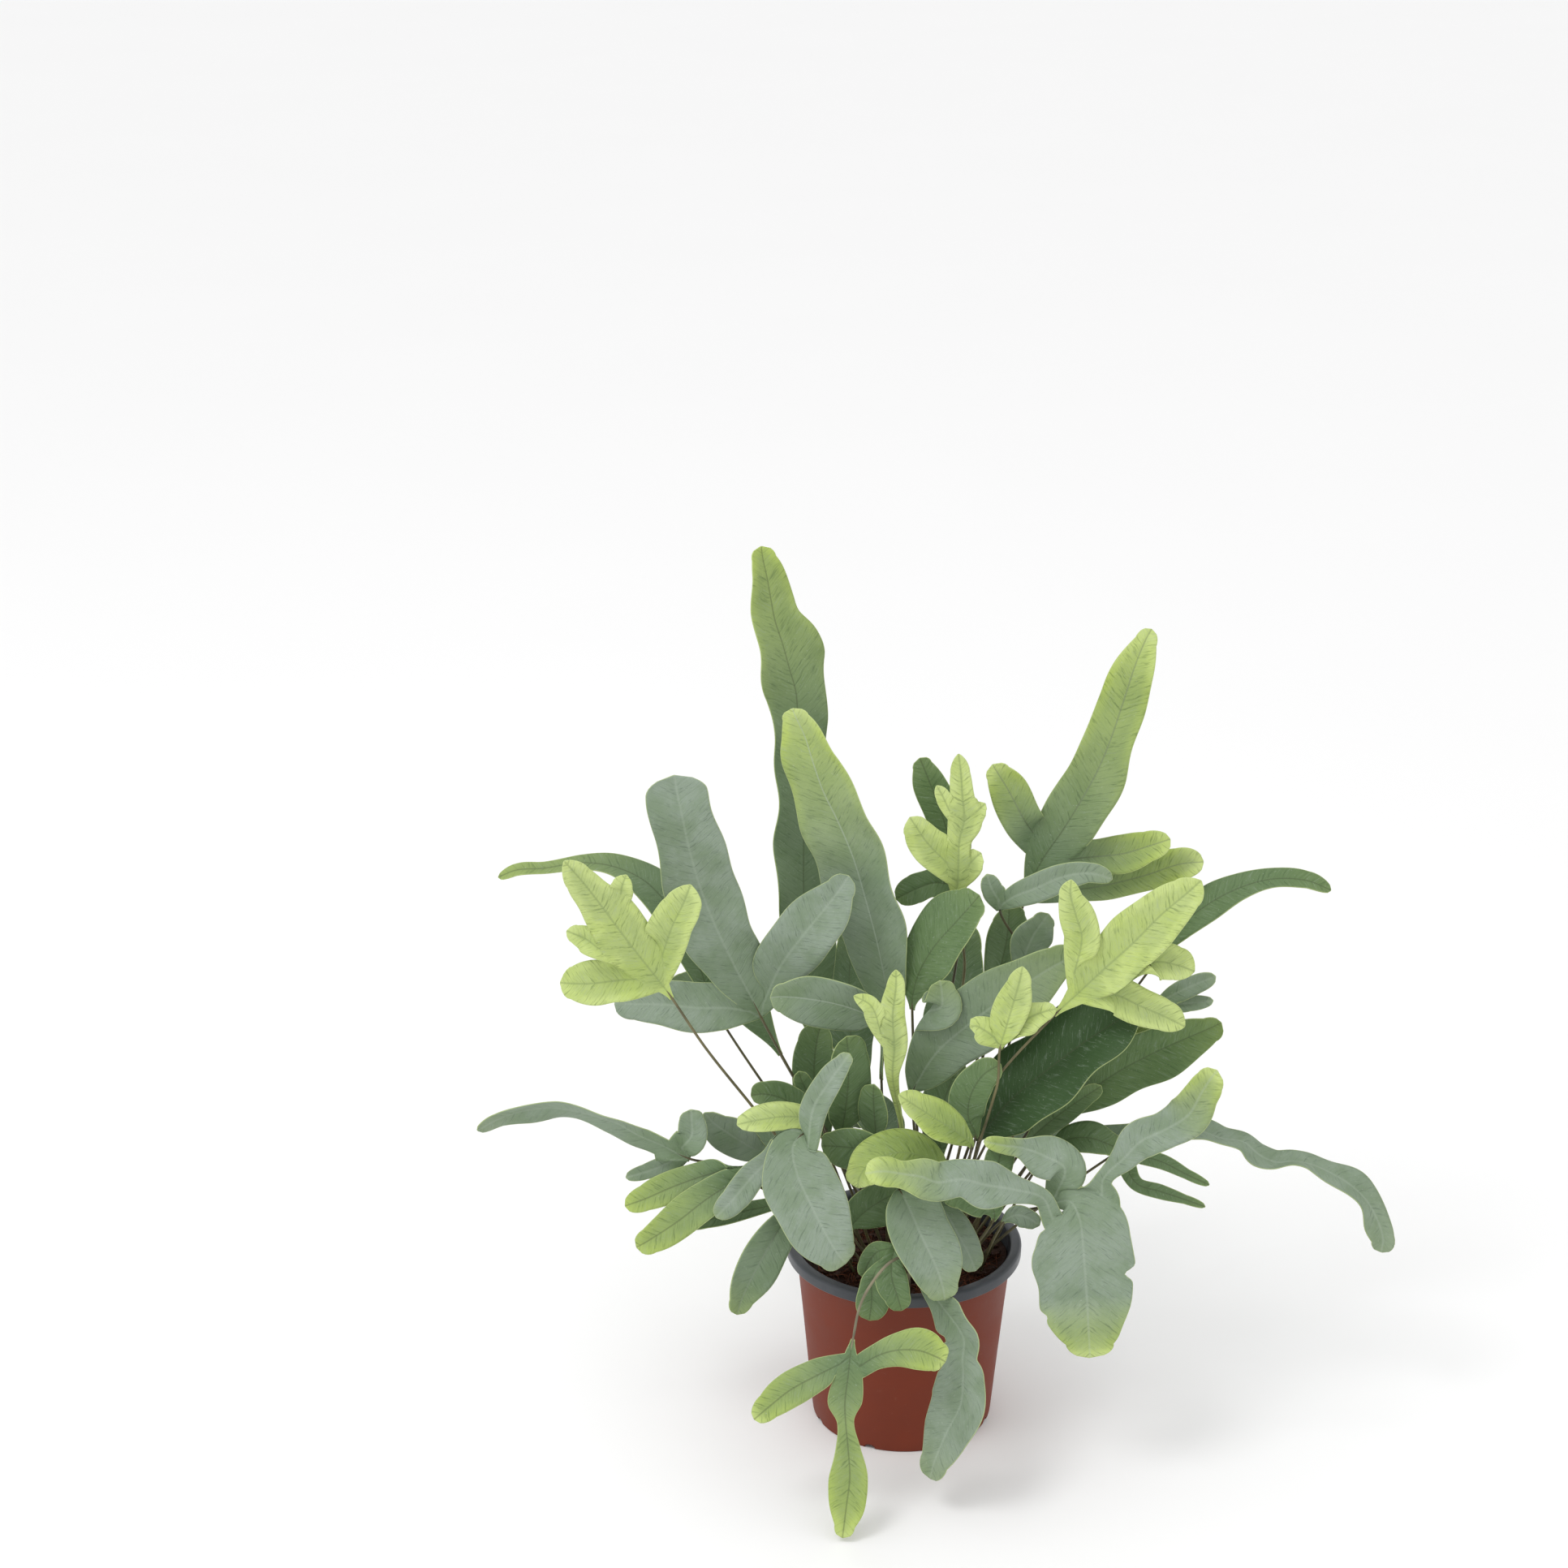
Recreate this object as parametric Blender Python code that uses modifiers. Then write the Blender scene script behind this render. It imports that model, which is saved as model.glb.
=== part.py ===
"""Blue star fern in a nursery pot: the pot, its soil, and one solid for each frond.

Sizes are in millimetres and are turned into metres when a mesh is made. +Z is up, the
origin is the middle of the pot's flat bottom, and the plant is seen from the front along +Y.
"""

import math

import bmesh
import bpy
from mathutils import Vector

MM = 0.001

# The pot
POT_HEIGHT = 96.6
LIP_RADIUS = 60.0
LIP_HEIGHT = 6.0
WALL_TOP_RADIUS = 54.2
BASE_RADIUS = 45.7
WALL = 1.2
LIP_ROUND = 1.4
SIDES = 48
NOTCHES = 8
NOTCH_RADIUS = 3.2
NOTCH_LENGTH = 12.0
NOTCH_OUT = 1.5
NOTCH_DROP = 0.8

# The soil
SOIL_TOP = 88.0
GAP = 0.3
HOLE_DEPTH = 12.0
HOLE_RADIUS = 1.75
HOLE_SIDES = 6

# The blades
STIPE_HALF = 0.9
THICK_STIPE = 1.8
THICK_RIB = 1.3
THICK_EDGE = 0.75
CUP = 0.16
STIPE_STEP = 32
SHARP_BEND = math.radians(60)
ARCH = 8.0

# How the plant is seen from the front: a frond's points are given where they show in a
# square picture of PICTURE by PICTURE dots, each with its depth behind (+) or before (-)
# the pot's axis in millimetres.
PICTURE = 1932.0
FOCAL = 3848.0
EYE = Vector((-60.7, -1400.5, 870.4))
EYE_PITCH = math.radians(20.64)

GREEN = (0.16, 0.27, 0.16)
GREY = (0.27, 0.36, 0.33)
LIME = (0.45, 0.60, 0.14)
TERRACOTTA = (0.42, 0.10, 0.06)
COIR = (0.06, 0.03, 0.02)

# How many degrees a frond is turned about its own length
TURNS = {
    "frond_tall_back": -32, "frond_tall_front": 32, "frond_far_left": -32, "frond_dark_round": 32,
    "frond_green_mid": -32, "frond_grey_small": -20, "frond_lime_right_low": -32,
    "frond_dark_strap": 32, "frond_right_strap": -32, "frond_left_oval": 32,
    "frond_centre_oval": -32, "frond_small_oval": 32, "frond_left_lime": -32,
    "frond_left_pale": 32, "frond_left_narrow": -32, "frond_left_front": 32,
    "frond_centre_grey": 20, "frond_centre_right": 32, "frond_hang_right": -32,
    "frond_mid_oval": 32, "frond_lime_centre": -32, "frond_lime_fold": -32,
    "frond_right_back": 32, "frond_crown_left": -32, "frond_right_under": 32,
    "frond_right_narrow": -32, "frond_rim_right": -20, "frond_centre_back": 32,
    "frond_rear_one": -32, "frond_rear_two": 32, "frond_rear_three": -32, "frond_rear_four": 32,
    "frond_rear_five": -32, "frond_rear_six": 32, "frond_rear_seven": -32,
}

# One row for each frond: name, colour, foot on the soil (x, y), wave height, and the line of
# its stipe and midrib from foot to tip. A point is (across, down, depth, half width) with an
# optional turn of the blade's face in degrees. A lobe grows from one side of one stretch of
# that line, and has its own points.
FRONDS = {
    "frond_tall_back": (GREEN, (-6, 24), 1.5, [
        (1012, 1300, 36, 1.4), (1003, 1240, 40, 9), (992, 1160, 46, 13), (990, 1095, 50, 14),
        (990, 1027, 54, 15), (986, 950, 58, 14), (983, 900, 61, 13.5), (981, 855, 63, 14),
        (972, 822, 65, 16.3), (964, 793, 67, 15.2), (955, 765, 68, 12.3), (950, 740, 69, 11.3),
        (945, 712, 70, 8.8), (940, 688, 71, 5.8), (938, 673, 72, 1.8)], []),
    "frond_tall_front": (GREEN, (2, 8), 1.2, [
        (1102, 1300, 8, 1.2), (1096, 1240, 10, 7), (1083, 1171, 12, 14.5), (1069, 1117, 14, 16.5),
        (1052, 1059, 16, 16.5), (1032, 1011, 18, 16), (1014, 974, 19, 14.5), (1001, 937, 20, 13),
        (992, 908, 21, 10.5), (981, 884, 21, 6.5), (976, 873, 21, 1.8)], []),
    "frond_upright_right": (GREEN, (20, 24), 1.5, [
        (1262, 1110, 30, 1.3), (1283, 1062, 31, 8), (1310, 1022, 33, 13.6), (1333, 985, 35, 14.6),
        (1352, 950, 36, 14.6), (1369, 910, 38, 12.4), (1383, 868, 39, 11.8), (1398, 822, 40, 9.7),
        (1411, 790, 41, 5.5), (1419, 775, 41, 1.4)], [
        ("left", 1, [(1262, 1010, 31, 10), (1243, 975, 31, 9.5), (1229, 952, 31, 6), (1223, 942, 31, 1.2)]),
        ("right", 1, [(1345, 1056, 33, 8), (1382, 1052, 34, 9.5), (1414, 1043, 35, 7.4),
                      (1442, 1034, 36, 1.5)]),
        ("right", 0, [(1322, 1096, 38, 6), (1365, 1090, 42, 7.5), (1410, 1079, 44, 8.5),
                      (1452, 1065, 45, 8), (1483, 1062, 45, 1.6)])]),
    "frond_big_left": (GREY, (-12, 14), 1.0, [
        (938, 1254, 10, 1.4), (924, 1226, 9, 8), (905, 1190, 7, 15), (882, 1142, 3, 17.5),
        (864, 1097, 0, 17.5), (850, 1049, -4, 16.5), (840, 1004, -8, 15.5), (834, 975, -8, 15),
        (831, 955, -9, 12.5)], [
        ("right", 0, [(962, 1190, 5, 13), (990, 1152, 3, 14.5), (1016, 1120, 1, 13), (1036, 1094, 0, 7.5),
                      (1046, 1079, 0, 1.4)]),
        ("left", 0, [(895, 1242, 14, 11), (860, 1242, 18, 12.5), (820, 1238, 21, 11.5),
                     (782, 1237, 23, 8), (757, 1236, 24, 1.6)])]),
    "frond_lime_left": (LIME, (-20, 4), 0.8, [
        (926, 1362, -14, 0.9), (870, 1292, -22, 0.9), (828, 1230, -28, 1.2), (818, 1216, -29, 3.2),
        (779, 1167, -32, 12), (749, 1127, -34, 12.4), (731, 1103, -36, 9.4), (713, 1081, -38, 7),
        (695, 1061, -40, 1.3)], [
        ("right", 3, [(828, 1142, -33, 10.5), (842, 1113, -33, 8.5), (851, 1090, -33, 1.6)]),
        ("left", 3, [(760, 1208, -31, 10.5), (728, 1212, -32, 11), (704, 1212, -33, 8),
                     (690, 1211, -33, 1.6)]),
        ("left", 4, [(722, 1157, -34, 6.5), (708, 1151, -34, 4.5), (698, 1147, -34, 1.3)]),
        ("right", 5, [(767, 1090, -36, 5), (772, 1078, -36, 1.2)])]),
    "frond_far_left": (GREEN, (-22, 26), 0.8, [
        (884, 1250, 46, 1.2), (862, 1192, 50, 8), (836, 1135, 54, 10), (800, 1090, 58, 9),
        (760, 1069, 62, 6), (717, 1063, 66, 4), (670, 1070, 69, 3), (637, 1072, 72, 3),
        (614, 1081, 74, 1)], []),
    "frond_lime_top": (LIME, (9, 18), 0.6, [
        (1188, 1200, 24, 0.9), (1176, 1108, 17, 1.3), (1180, 1090, 16, 4.5), (1182, 1036, 14, 6),
        (1188, 1010, 13, 8.5), (1186, 982, 12, 6.2), (1184, 952, 12, 4.8), (1181, 929, 12, 1)], [
        ("left", 2, [(1143, 1039, 13, 9.5), (1129, 1019, 12, 6.5), (1121, 1007, 12, 1.5)]),
        ("left", 4, [(1161, 980, 12, 3.5), (1154, 968, 12, 1.2)]),
        ("right", 4, [(1210, 994, 12, 3), (1214, 990, 12, 1.1)]),
        ("right", 2, [(1203, 1056, 14, 5), (1209, 1051, 14, 1.2)])]),
    "frond_back_green": (GREEN, (3, 31), 0.8, [
        (1186, 1130, 40, 1.2), (1172, 1045, 38, 6), (1160, 1002, 37, 9), (1146, 965, 36, 8.5),
        (1137, 943, 36, 5), (1133, 934, 36, 1.2)], [
        ("left", 0, [(1150, 1088, 34, 7.5), (1125, 1097, 33, 7), (1104, 1108, 33, 1.3)])]),
    "frond_dark_round": (GREEN, (10, 9), 0.8, [
        (1124, 1244, 4, 1.2), (1130, 1205, 2, 9), (1150, 1168, 0, 14), (1178, 1136, -1, 13.5),
        (1198, 1114, -2, 8.5), (1207, 1103, -2, 1.8)], []),
    "frond_green_mid": (GREEN, (14, 25), 0.8, [
        (1225, 1232, 24, 1.2), (1232, 1195, 23, 9), (1240, 1160, 22, 11.5), (1243, 1130, 21, 8),
        (1243, 1116, 21, 1.6)], []),
    "frond_grey_arch": (GREY, (19, 16), 0.6, [
        (1262, 1190, 14, 0.9), (1232, 1122, 8, 1.6), (1246, 1107, 4, 5), (1275, 1095, 0, 7),
        (1308, 1081, -3, 7), (1342, 1076, -5, 5), (1371, 1083, -6, 1.2)], [
        ("left", 1, [(1222, 1095, 6, 5), (1216, 1077, 6, 1.2)])]),
    "frond_grey_small": (GREY, (25, 10), 0.5, [
        (1262, 1218, 6, 0.9), (1262, 1182, 5, 6), (1272, 1155, 4, 9.5), (1285, 1135, 3, 5.5),
        (1292, 1126, 3, 1.2)], []),
    "frond_big_middle": (GREY, (12, 1), 1.0, [
        (1124, 1352, -6, 1.3), (1135, 1325, -8, 9), (1157, 1294, -10, 15), (1190, 1265, -13, 16.5),
        (1230, 1235, -15, 16), (1270, 1208, -17, 13.5), (1305, 1187, -19, 8.5), (1328, 1177, -20, 1.6)], [
        ("left", 2, [(1160, 1240, -12, 10), (1160, 1220, -12, 6.5), (1158, 1208, -12, 1.4)])]),
    "frond_lime_right": (LIME, (22, -3), 0.8, [
        (1187, 1397, -27, 0.9), (1229, 1327, -32, 0.9), (1299, 1251, -35, 1), (1325, 1227, -36, 5),
        (1355, 1199, -37, 11.5), (1395, 1163, -38, 14), (1430, 1128, -39, 12), (1462, 1101, -40, 8),
        (1480, 1085, -41, 1.3)], [
        ("left", 3, [(1333, 1156, -35, 8.6), (1325, 1126, -34, 8.6), (1319, 1103, -33, 5.6),
                     (1320, 1084, -33, 1.2)]),
        ("right", 4, [(1422, 1186, -38, 9.5), (1450, 1189, -38, 8), (1472, 1197, -38, 1.3)]),
        ("right", 3, [(1374, 1226, -37, 9.5), (1404, 1239, -37, 9.4), (1434, 1252, -37, 7.6),
                      (1460, 1265, -37, 1.4)])]),
    "frond_lime_right_low": (LIME, (34, 6), 0.6, [
        (1296, 1290, 8, 0.9), (1312, 1270, 6, 5), (1360, 1262, 4, 8), (1410, 1271, 2, 8.5),
        (1445, 1268, 1, 5.5), (1462, 1258, 1, 1.2)], []),
    "frond_dark_strap": (GREEN, (28, -8), 1.0, [
        (1205, 1407, -22, 1.3), (1225, 1378, -23, 11), (1252, 1349, -24, 18), (1292, 1317, -25, 19.5),
        (1335, 1285, -26, 18.5), (1370, 1262, -27, 14.5), (1393, 1248, -27, 8), (1404, 1241, -27, 2)], []),
    "frond_right_strap": (GREEN, (36, -2), 0.8, [
        (1300, 1385, -4, 1.2), (1337, 1349, -6, 9), (1377, 1321, -8, 13), (1420, 1298, -10, 13),
        (1460, 1280, -12, 10.5), (1490, 1267, -13, 6.5), (1505, 1260, -13, 1.3)], []),
    "frond_lime_mid": (LIME, (18, -12), 0.5, [
        (1228, 1340, -38, 0.9), (1232, 1292, -42, 1.2), (1239, 1268, -43, 7), (1248, 1238, -44, 8.5),
        (1256, 1210, -45, 5.5), (1260, 1191, -46, 1.2)], [
        ("left", 1, [(1214, 1270, -43, 7), (1202, 1264, -43, 4.5), (1195, 1266, -43, 1.2)]),
        ("right", 1, [(1266, 1256, -43, 7), (1288, 1246, -43, 4.5), (1302, 1243, -43, 1.2)])]),
    "frond_lime_small": (LIME, (-1, -4), 0.5, [
        (1112, 1400, -14, 0.9), (1100, 1328, -22, 3), (1102, 1290, -24, 6), (1100, 1252, -25, 6.5),
        (1104, 1216, -26, 4.5), (1104, 1195, -26, 1.2)], [
        ("left", 2, [(1074, 1240, -26, 4.5), (1052, 1227, -26, 1.2)])]),
    "frond_left_oval": (GREEN, (-8, 4), 0.6, [
        (1086, 1330, -6, 0.9), (1084, 1262, -11, 2), (1063, 1248, -12, 9), (1030, 1237, -14, 12),
        (990, 1230, -16, 11.5), (962, 1228, -18, 7), (949, 1229, -19, 1.4)], []),
    "frond_centre_oval": (GREEN, (-9, -9), 0.6, [
        (1038, 1402, -20, 1.2), (1041, 1372, -21, 9), (1045, 1336, -22, 11), (1045, 1300, -23, 8.5),
        (1043, 1277, -24, 1.4)], []),
    "frond_small_oval": (GREEN, (4, -12), 0.4, [
        (1082, 1412, -24, 1), (1078, 1380, -25, 6.5), (1076, 1350, -26, 5.5), (1077, 1336, -26, 1)], []),
    "frond_grey_front": (GREY, (-18, -8), 0.8, [
        (992, 1396, -44, 1.4), (977, 1412, -49, 11), (982, 1446, -54, 17), (998, 1482, -59, 17.5),
        (1016, 1518, -63, 15.5), (1032, 1545, -66, 10), (1042, 1557, -66, 2.4)], [
        ("left", 0, [(1002, 1366, -44, 7), (1024, 1330, -42, 6.5), (1040, 1308, -41, 4),
                     (1047, 1298, -40, 1)]),
        ("right", 0, [(952, 1424, -41, 5), (925, 1452, -41, 7), (903, 1478, -42, 6.5),
                      (882, 1500, -43, 1.4)])]),
    "frond_left_lime": (LIME, (-16, -1), 0.4, [
        (1014, 1385, -28, 1), (996, 1378, -30, 5), (966, 1376, -32, 7), (935, 1380, -34, 6.5),
        (916, 1384, -35, 4), (908, 1386, -36, 1)], []),
    "frond_left_stalked": (GREY, (-27, 0), 1.2, [
        (893, 1437, -18, 0.9), (850, 1428, -20, 1.4), (816, 1411, -22, 8, 55), (787, 1399, -23, 9, 60),
        (760, 1384, -24, 9, 64), (735, 1376, -26, 8, 66), (708, 1369, -28, 8, 66), (680, 1365, -30, 9, 64),
        (647, 1368, -32, 9, 62), (614, 1379, -34, 7, 62), (588, 1393, -36, 1.4, 60)], [
        ("right", 1, [(852, 1400, -22, 7.5), (852, 1378, -22, 6), (851, 1367, -22, 1.4)]),
        ("left", 1, [(825, 1432, -18, 5), (795, 1444, -17, 3.8), (771, 1451, -17, 1)])]),
    "frond_left_pale": (GREY, (-34, 7), 0.5, [
        (952, 1424, -2, 1), (925, 1413, -4, 7), (900, 1398, -6, 9), (880, 1384, -7, 6.5),
        (868, 1371, -8, 1.4)], []),
    "frond_left_low": (GREEN, (-27, -10), 0.6, [
        (936, 1440, -30, 1.3), (905, 1456, -32, 7), (870, 1478, -34, 9), (835, 1505, -36, 9.5),
        (800, 1528, -38, 6.5), (784, 1537, -39, 1.8)], [
        ("right", 0, [(870, 1448, -27, 7), (830, 1462, -27, 8), (795, 1477, -28, 6.5),
                      (770, 1486, -28, 1.3)])]),
    "frond_left_narrow": (GREEN, (-20, -17), 0.3, [
        (985, 1473, -14, 1), (955, 1484, -16, 3.2), (910, 1494, -18, 4.5), (870, 1504, -20, 4),
        (846, 1511, -21, 1)], []),
    "frond_left_front": (GREEN, (-26, -20), 0.6, [
        (985, 1484, -40, 1.1), (965, 1506, -46, 7), (945, 1540, -52, 9.5), (926, 1575, -57, 9.5),
        (913, 1603, -60, 6), (908, 1620, -62, 1.3)], []),
    "frond_centre_grey": (GREY, (5, -22), 0.8, [
        (1108, 1466, -52, 1.6), (1117, 1482, -58, 12), (1134, 1520, -66, 14), (1153, 1560, -72, 13),
        (1162, 1588, -75, 8), (1164, 1602, -76, 1.8)], []),
    "frond_centre_right": (GREY, (14, -22), 0.4, [
        (1150, 1475, -37, 1), (1165, 1494, -41, 5), (1181, 1522, -45, 6.8), (1195, 1548, -48, 6),
        (1202, 1566, -50, 1.3)], []),
    "frond_front_young": (GREEN, (-5, -31), 0.4, [
        (1104, 1534, -58, 1), (1099, 1552, -64, 4.5), (1099, 1575, -70, 8), (1106, 1598, -74, 6.5),
        (1111, 1615, -76, 1.2)], [
        ("right", 1, [(1074, 1580, -63, 6), (1074, 1604, -64, 8), (1071, 1627, -66, 1.4)]),
        ("right", 0, [(1080, 1543, -57, 5.5), (1069, 1558, -57, 5), (1064, 1574, -58, 1.2)])]),
    "frond_hang_left": (GREEN, (1, -44), 0.8, [
        (1116, 1549, -67, 0.9), (1097, 1555, -74, 0.9), (1077, 1577, -78, 0.9), (1060, 1608, -84, 0.9),
        (1051, 1650, -91, 1), (1048, 1668, -94, 3), (1045, 1695, -98, 6.5), (1041, 1728, -102, 8),
        (1042, 1752, -105, 4), (1045, 1785, -109, 6), (1047, 1820, -114, 9.5), (1043, 1855, -119, 9),
        (1040, 1880, -122, 5), (1038, 1895, -124, 1.2)], [
        ("left", 5, [(1078, 1672, -96, 6), (1103, 1664, -97, 8), (1132, 1664, -98, 10),
                     (1154, 1672, -98, 7),
                     (1165, 1678, -98, 1.6)]),
        ("right", 5, [(1008, 1694, -97, 7.5), (975, 1712, -98, 8.5), (948, 1733, -99, 6.5),
                      (929, 1749, -100, 1.4)])]),
    "frond_hang_right": (GREY, (12, -34), 1.5, [
        (1134, 1568, -58, 1.2), (1143, 1584, -64, 4), (1156, 1603, -69, 5.5), (1170, 1621, -75, 8.5),
        (1181, 1636, -80, 6.8), (1188, 1652, -84, 8), (1186, 1674, -87, 7.4), (1187, 1694, -90, 11),
        (1184, 1730, -94, 14), (1166, 1766, -96, 11.5), (1152, 1800, -98, 7), (1146, 1822, -99, 1.8)], []),
    "frond_mid_oval": (GREEN, (-6, -17), 0.5, [
        (1098, 1422, -34, 1), (1076, 1418, -35, 8), (1048, 1414, -35, 9.5), (1024, 1412, -34, 7),
        (1012, 1412, -33, 1.4)], []),
    "frond_lime_centre": (LIME, (9, -15), 0.6, [
        (1165, 1442, -42, 1.2), (1145, 1428, -44, 8), (1110, 1420, -46, 11), (1076, 1430, -48, 10.5),
        (1059, 1450, -49, 6.5), (1057, 1464, -50, 1.6)], []),
    "frond_front_right": (GREY, (30, -16), 1.5, [
        (1242, 1499, -34, 0.9), (1290, 1486, -48, 1.2), (1318, 1480, -56, 8), (1330, 1501, -60, 19),
        (1334, 1528, -63, 22.5), (1336, 1556, -66, 24.4), (1338, 1582, -69, 22.6), (1340, 1608, -71, 21.8),
        (1341, 1632, -73, 17.8), (1342, 1654, -74, 12), (1343, 1673, -75, 2.2)], [
        ("right", 2, [(1285, 1476, -61, 4.6), (1250, 1466, -65, 6.8), (1215, 1460, -68, 11.5),
                      (1185, 1453, -70, 9.2),
                      (1155, 1457, -71, 9.8), (1135, 1450, -72, 9.8), (1110, 1446, -73, 6.6),
                      (1088, 1443, -74, 7),
                      (1066, 1446, -74, 1.6)]),
        ("left", 2, [(1360, 1452, -58, 4.5), (1386, 1426, -60, 7), (1406, 1406, -61, 9.3),
                     (1436, 1392, -62, 8.8),
                     (1464, 1374, -63, 10.3), (1480, 1347, -64, 8.3), (1491, 1330, -65, 7),
                     (1500, 1319, -66, 1.8)]),
        ("left", 1, [(1312, 1440, -52, 10), (1286, 1424, -50, 11), (1258, 1414, -47, 5),
                     (1236, 1411, -46, 4),
                     (1212, 1406, -44, 1.4)])]),
    "frond_right_twin": (GREEN, (36, -11), 0.3, [
        (1370, 1424, -10, 1), (1400, 1424, -12, 3.6), (1430, 1431, -13, 4), (1462, 1447, -14, 2.6),
        (1490, 1460, -14, 0.7)], [
        ("right", 0, [(1400, 1458, -14, 3.6), (1430, 1468, -15, 3.8), (1460, 1478, -16, 2.4),
                      (1485, 1487, -16, 0.7)])]),
    "frond_far_right": (GREY, (38, 6), 2.2, [
        (1310, 1402, 4, 0.9), (1350, 1400, 2, 5), (1400, 1397, 0, 6), (1450, 1391, -2, 6.6, 30),
        (1480, 1394, -3, 7, 45), (1506, 1403, -5, 6.8, 50), (1532, 1407, -6, 7.6, 50),
        (1552, 1423, -7, 8.4, 50), (1572, 1432, -8, 7.4, 50), (1594, 1431, -9, 6.8, 50),
        (1616, 1435, -9, 7.6, 50), (1641, 1446, -10, 7.8, 50), (1664, 1460, -11, 8.4, 45),
        (1684, 1480, -12, 8, 40), (1697, 1503, -14, 8.6, 35), (1704, 1526, -16, 6.6, 30),
        (1702, 1543, -17, 1.5)], []),
    "frond_curled": (GREEN, (12, -9), 0.5, [
        (1202, 1402, -30, 1.2), (1193, 1376, -31, 8), (1196, 1350, -32, 9.5), (1211, 1325, -33, 7.5),
        (1233, 1311, -34, 1.6)], []),
    "frond_lime_fold": (LIME, (16, -17), 0.4, [
        (1197, 1414, -46, 1.1), (1180, 1396, -48, 6.5), (1155, 1380, -49, 9.5), (1130, 1364, -50, 6.5),
        (1107, 1349, -51, 1.2)], []),
    "frond_right_pair": (GREY, (37, 15), 0.3, [
        (1420, 1242, 26, 1), (1445, 1226, 25, 4.6), (1475, 1212, 24, 4.8), (1498, 1203, 23, 1)], [
        ("right", 0, [(1466, 1236, 25, 4), (1495, 1233, 24, 1)])]),
    "frond_right_back": (GREEN, (30, 24), 0.8, [
        (1420, 1190, 42, 1.1), (1455, 1141, 41, 7), (1492, 1112, 40, 8.5), (1530, 1093, 39, 7),
        (1570, 1083, 38, 5), (1610, 1085, 37, 4), (1640, 1097, 36, 1)], []),
    "frond_low_left": (GREEN, (-22, 10), 0.4, [
        (1012, 1400, 4, 1), (990, 1372, 3, 7), (965, 1354, 2, 8), (941, 1348, 1, 6), (925, 1350, 1, 1.3)], [
        ("right", 0, [(998, 1352, 7, 5), (988, 1332, 7, 4.5), (984, 1320, 7, 1.1)])]),
    "frond_crown_left": (GREEN, (-13, -25), 0.5, [
        (1048, 1517, -34, 1.2), (1058, 1500, -35, 8), (1078, 1484, -36, 11), (1100, 1472, -35, 8),
        (1114, 1466, -34, 1.5)], []),
    "frond_right_low": (GREEN, (22, -30), 0.4, [
        (1224, 1504, -44, 1.1), (1222, 1486, -46, 6.5), (1204, 1476, -47, 9), (1180, 1471, -48, 7),
        (1160, 1474, -48, 1.3)], [
        ("right", 1, [(1230, 1434, -42, 7), (1234, 1416, -40, 6), (1236, 1404, -38, 1.4)])]),
    "frond_right_under": (GREEN, (43, -4), 0.5, [
        (1290, 1420, -16, 1), (1316, 1404, -20, 6), (1342, 1402, -22, 7.5), (1366, 1410, -23, 5.5),
        (1382, 1418, -24, 1.3)], []),
    "frond_right_narrow": (GREEN, (29, 1), 0.4, [
        (1262, 1412, -10, 1), (1284, 1390, -12, 5), (1312, 1368, -14, 6), (1340, 1349, -16, 4.5),
        (1357, 1338, -17, 1.2)], []),
    "frond_rim_right": (GREY, (38, -21), 0.3, [
        (1236, 1506, -42, 1), (1252, 1497, -45, 5), (1268, 1501, -47, 4.8), (1281, 1510, -48, 1.3)], []),
    "frond_centre_dark": (GREEN, (-13, 23), 0.8, [
        (1022, 1410, 14, 1.2), (1008, 1370, 17, 9), (1003, 1325, 20, 12), (1006, 1285, 22, 9),
        (1012, 1262, 23, 1.5)], []),
    "frond_centre_back": (GREEN, (17, 8), 0.8, [
        (1160, 1425, 8, 1.2), (1156, 1390, 8, 8), (1163, 1358, 8, 9.5), (1175, 1325, 8, 7.5),
        (1184, 1303, 8, 1.5)], []),
    "frond_rear_one": (GREEN, (-3, 38), 1.0, [
        (1064, 1350, 64, 1.2), (1050, 1290, 84, 11), (1046, 1230, 102, 13), (1048, 1170, 116, 10),
        (1050, 1135, 122, 1.6)], []),
    "frond_rear_two": (GREEN, (12, 38), 1.0, [
        (1150, 1350, 64, 1.2), (1165, 1290, 84, 12), (1180, 1230, 100, 13), (1190, 1170, 112, 9),
        (1193, 1138, 117, 1.6)], []),
    "frond_rear_three": (GREEN, (26, 34), 1.0, [
        (1232, 1380, 56, 1.2), (1275, 1335, 74, 12), (1320, 1295, 90, 13), (1350, 1275, 101, 8.5),
        (1366, 1265, 106, 1.6)], []),
    "frond_rear_four": (GREEN, (-16, 34), 1.0, [
        (962, 1300, 66, 1.2), (925, 1240, 80, 10), (888, 1216, 94, 11), (850, 1216, 105, 8),
        (828, 1222, 110, 1.6)], []),
    "frond_rear_five": (GREEN, (4, 42), 0.8, [
        (1096, 1420, 66, 1.2), (1085, 1392, 84, 11), (1073, 1372, 102, 12), (1062, 1368, 118, 8),
        (1056, 1374, 126, 1.6)], []),
    "frond_rear_six": (GREEN, (33, 30), 0.8, [
        (1236, 1420, 60, 1.2), (1262, 1402, 80, 11), (1290, 1398, 98, 12), (1308, 1404, 112, 8),
        (1314, 1410, 118, 1.6)], []),
    "frond_rear_seven": (GREEN, (-28, 20), 0.8, [
        (1000, 1424, 44, 1.2), (960, 1410, 66, 10), (925, 1404, 86, 11), (902, 1404, 100, 7),
        (892, 1408, 106, 1.6)], []),
}


def clear_scene():
    for thing in list(bpy.data.objects):
        bpy.data.objects.remove(thing)


def new_collection(name):
    collection = bpy.data.collections.new(name)
    bpy.context.scene.collection.children.link(collection)
    return collection


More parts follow.
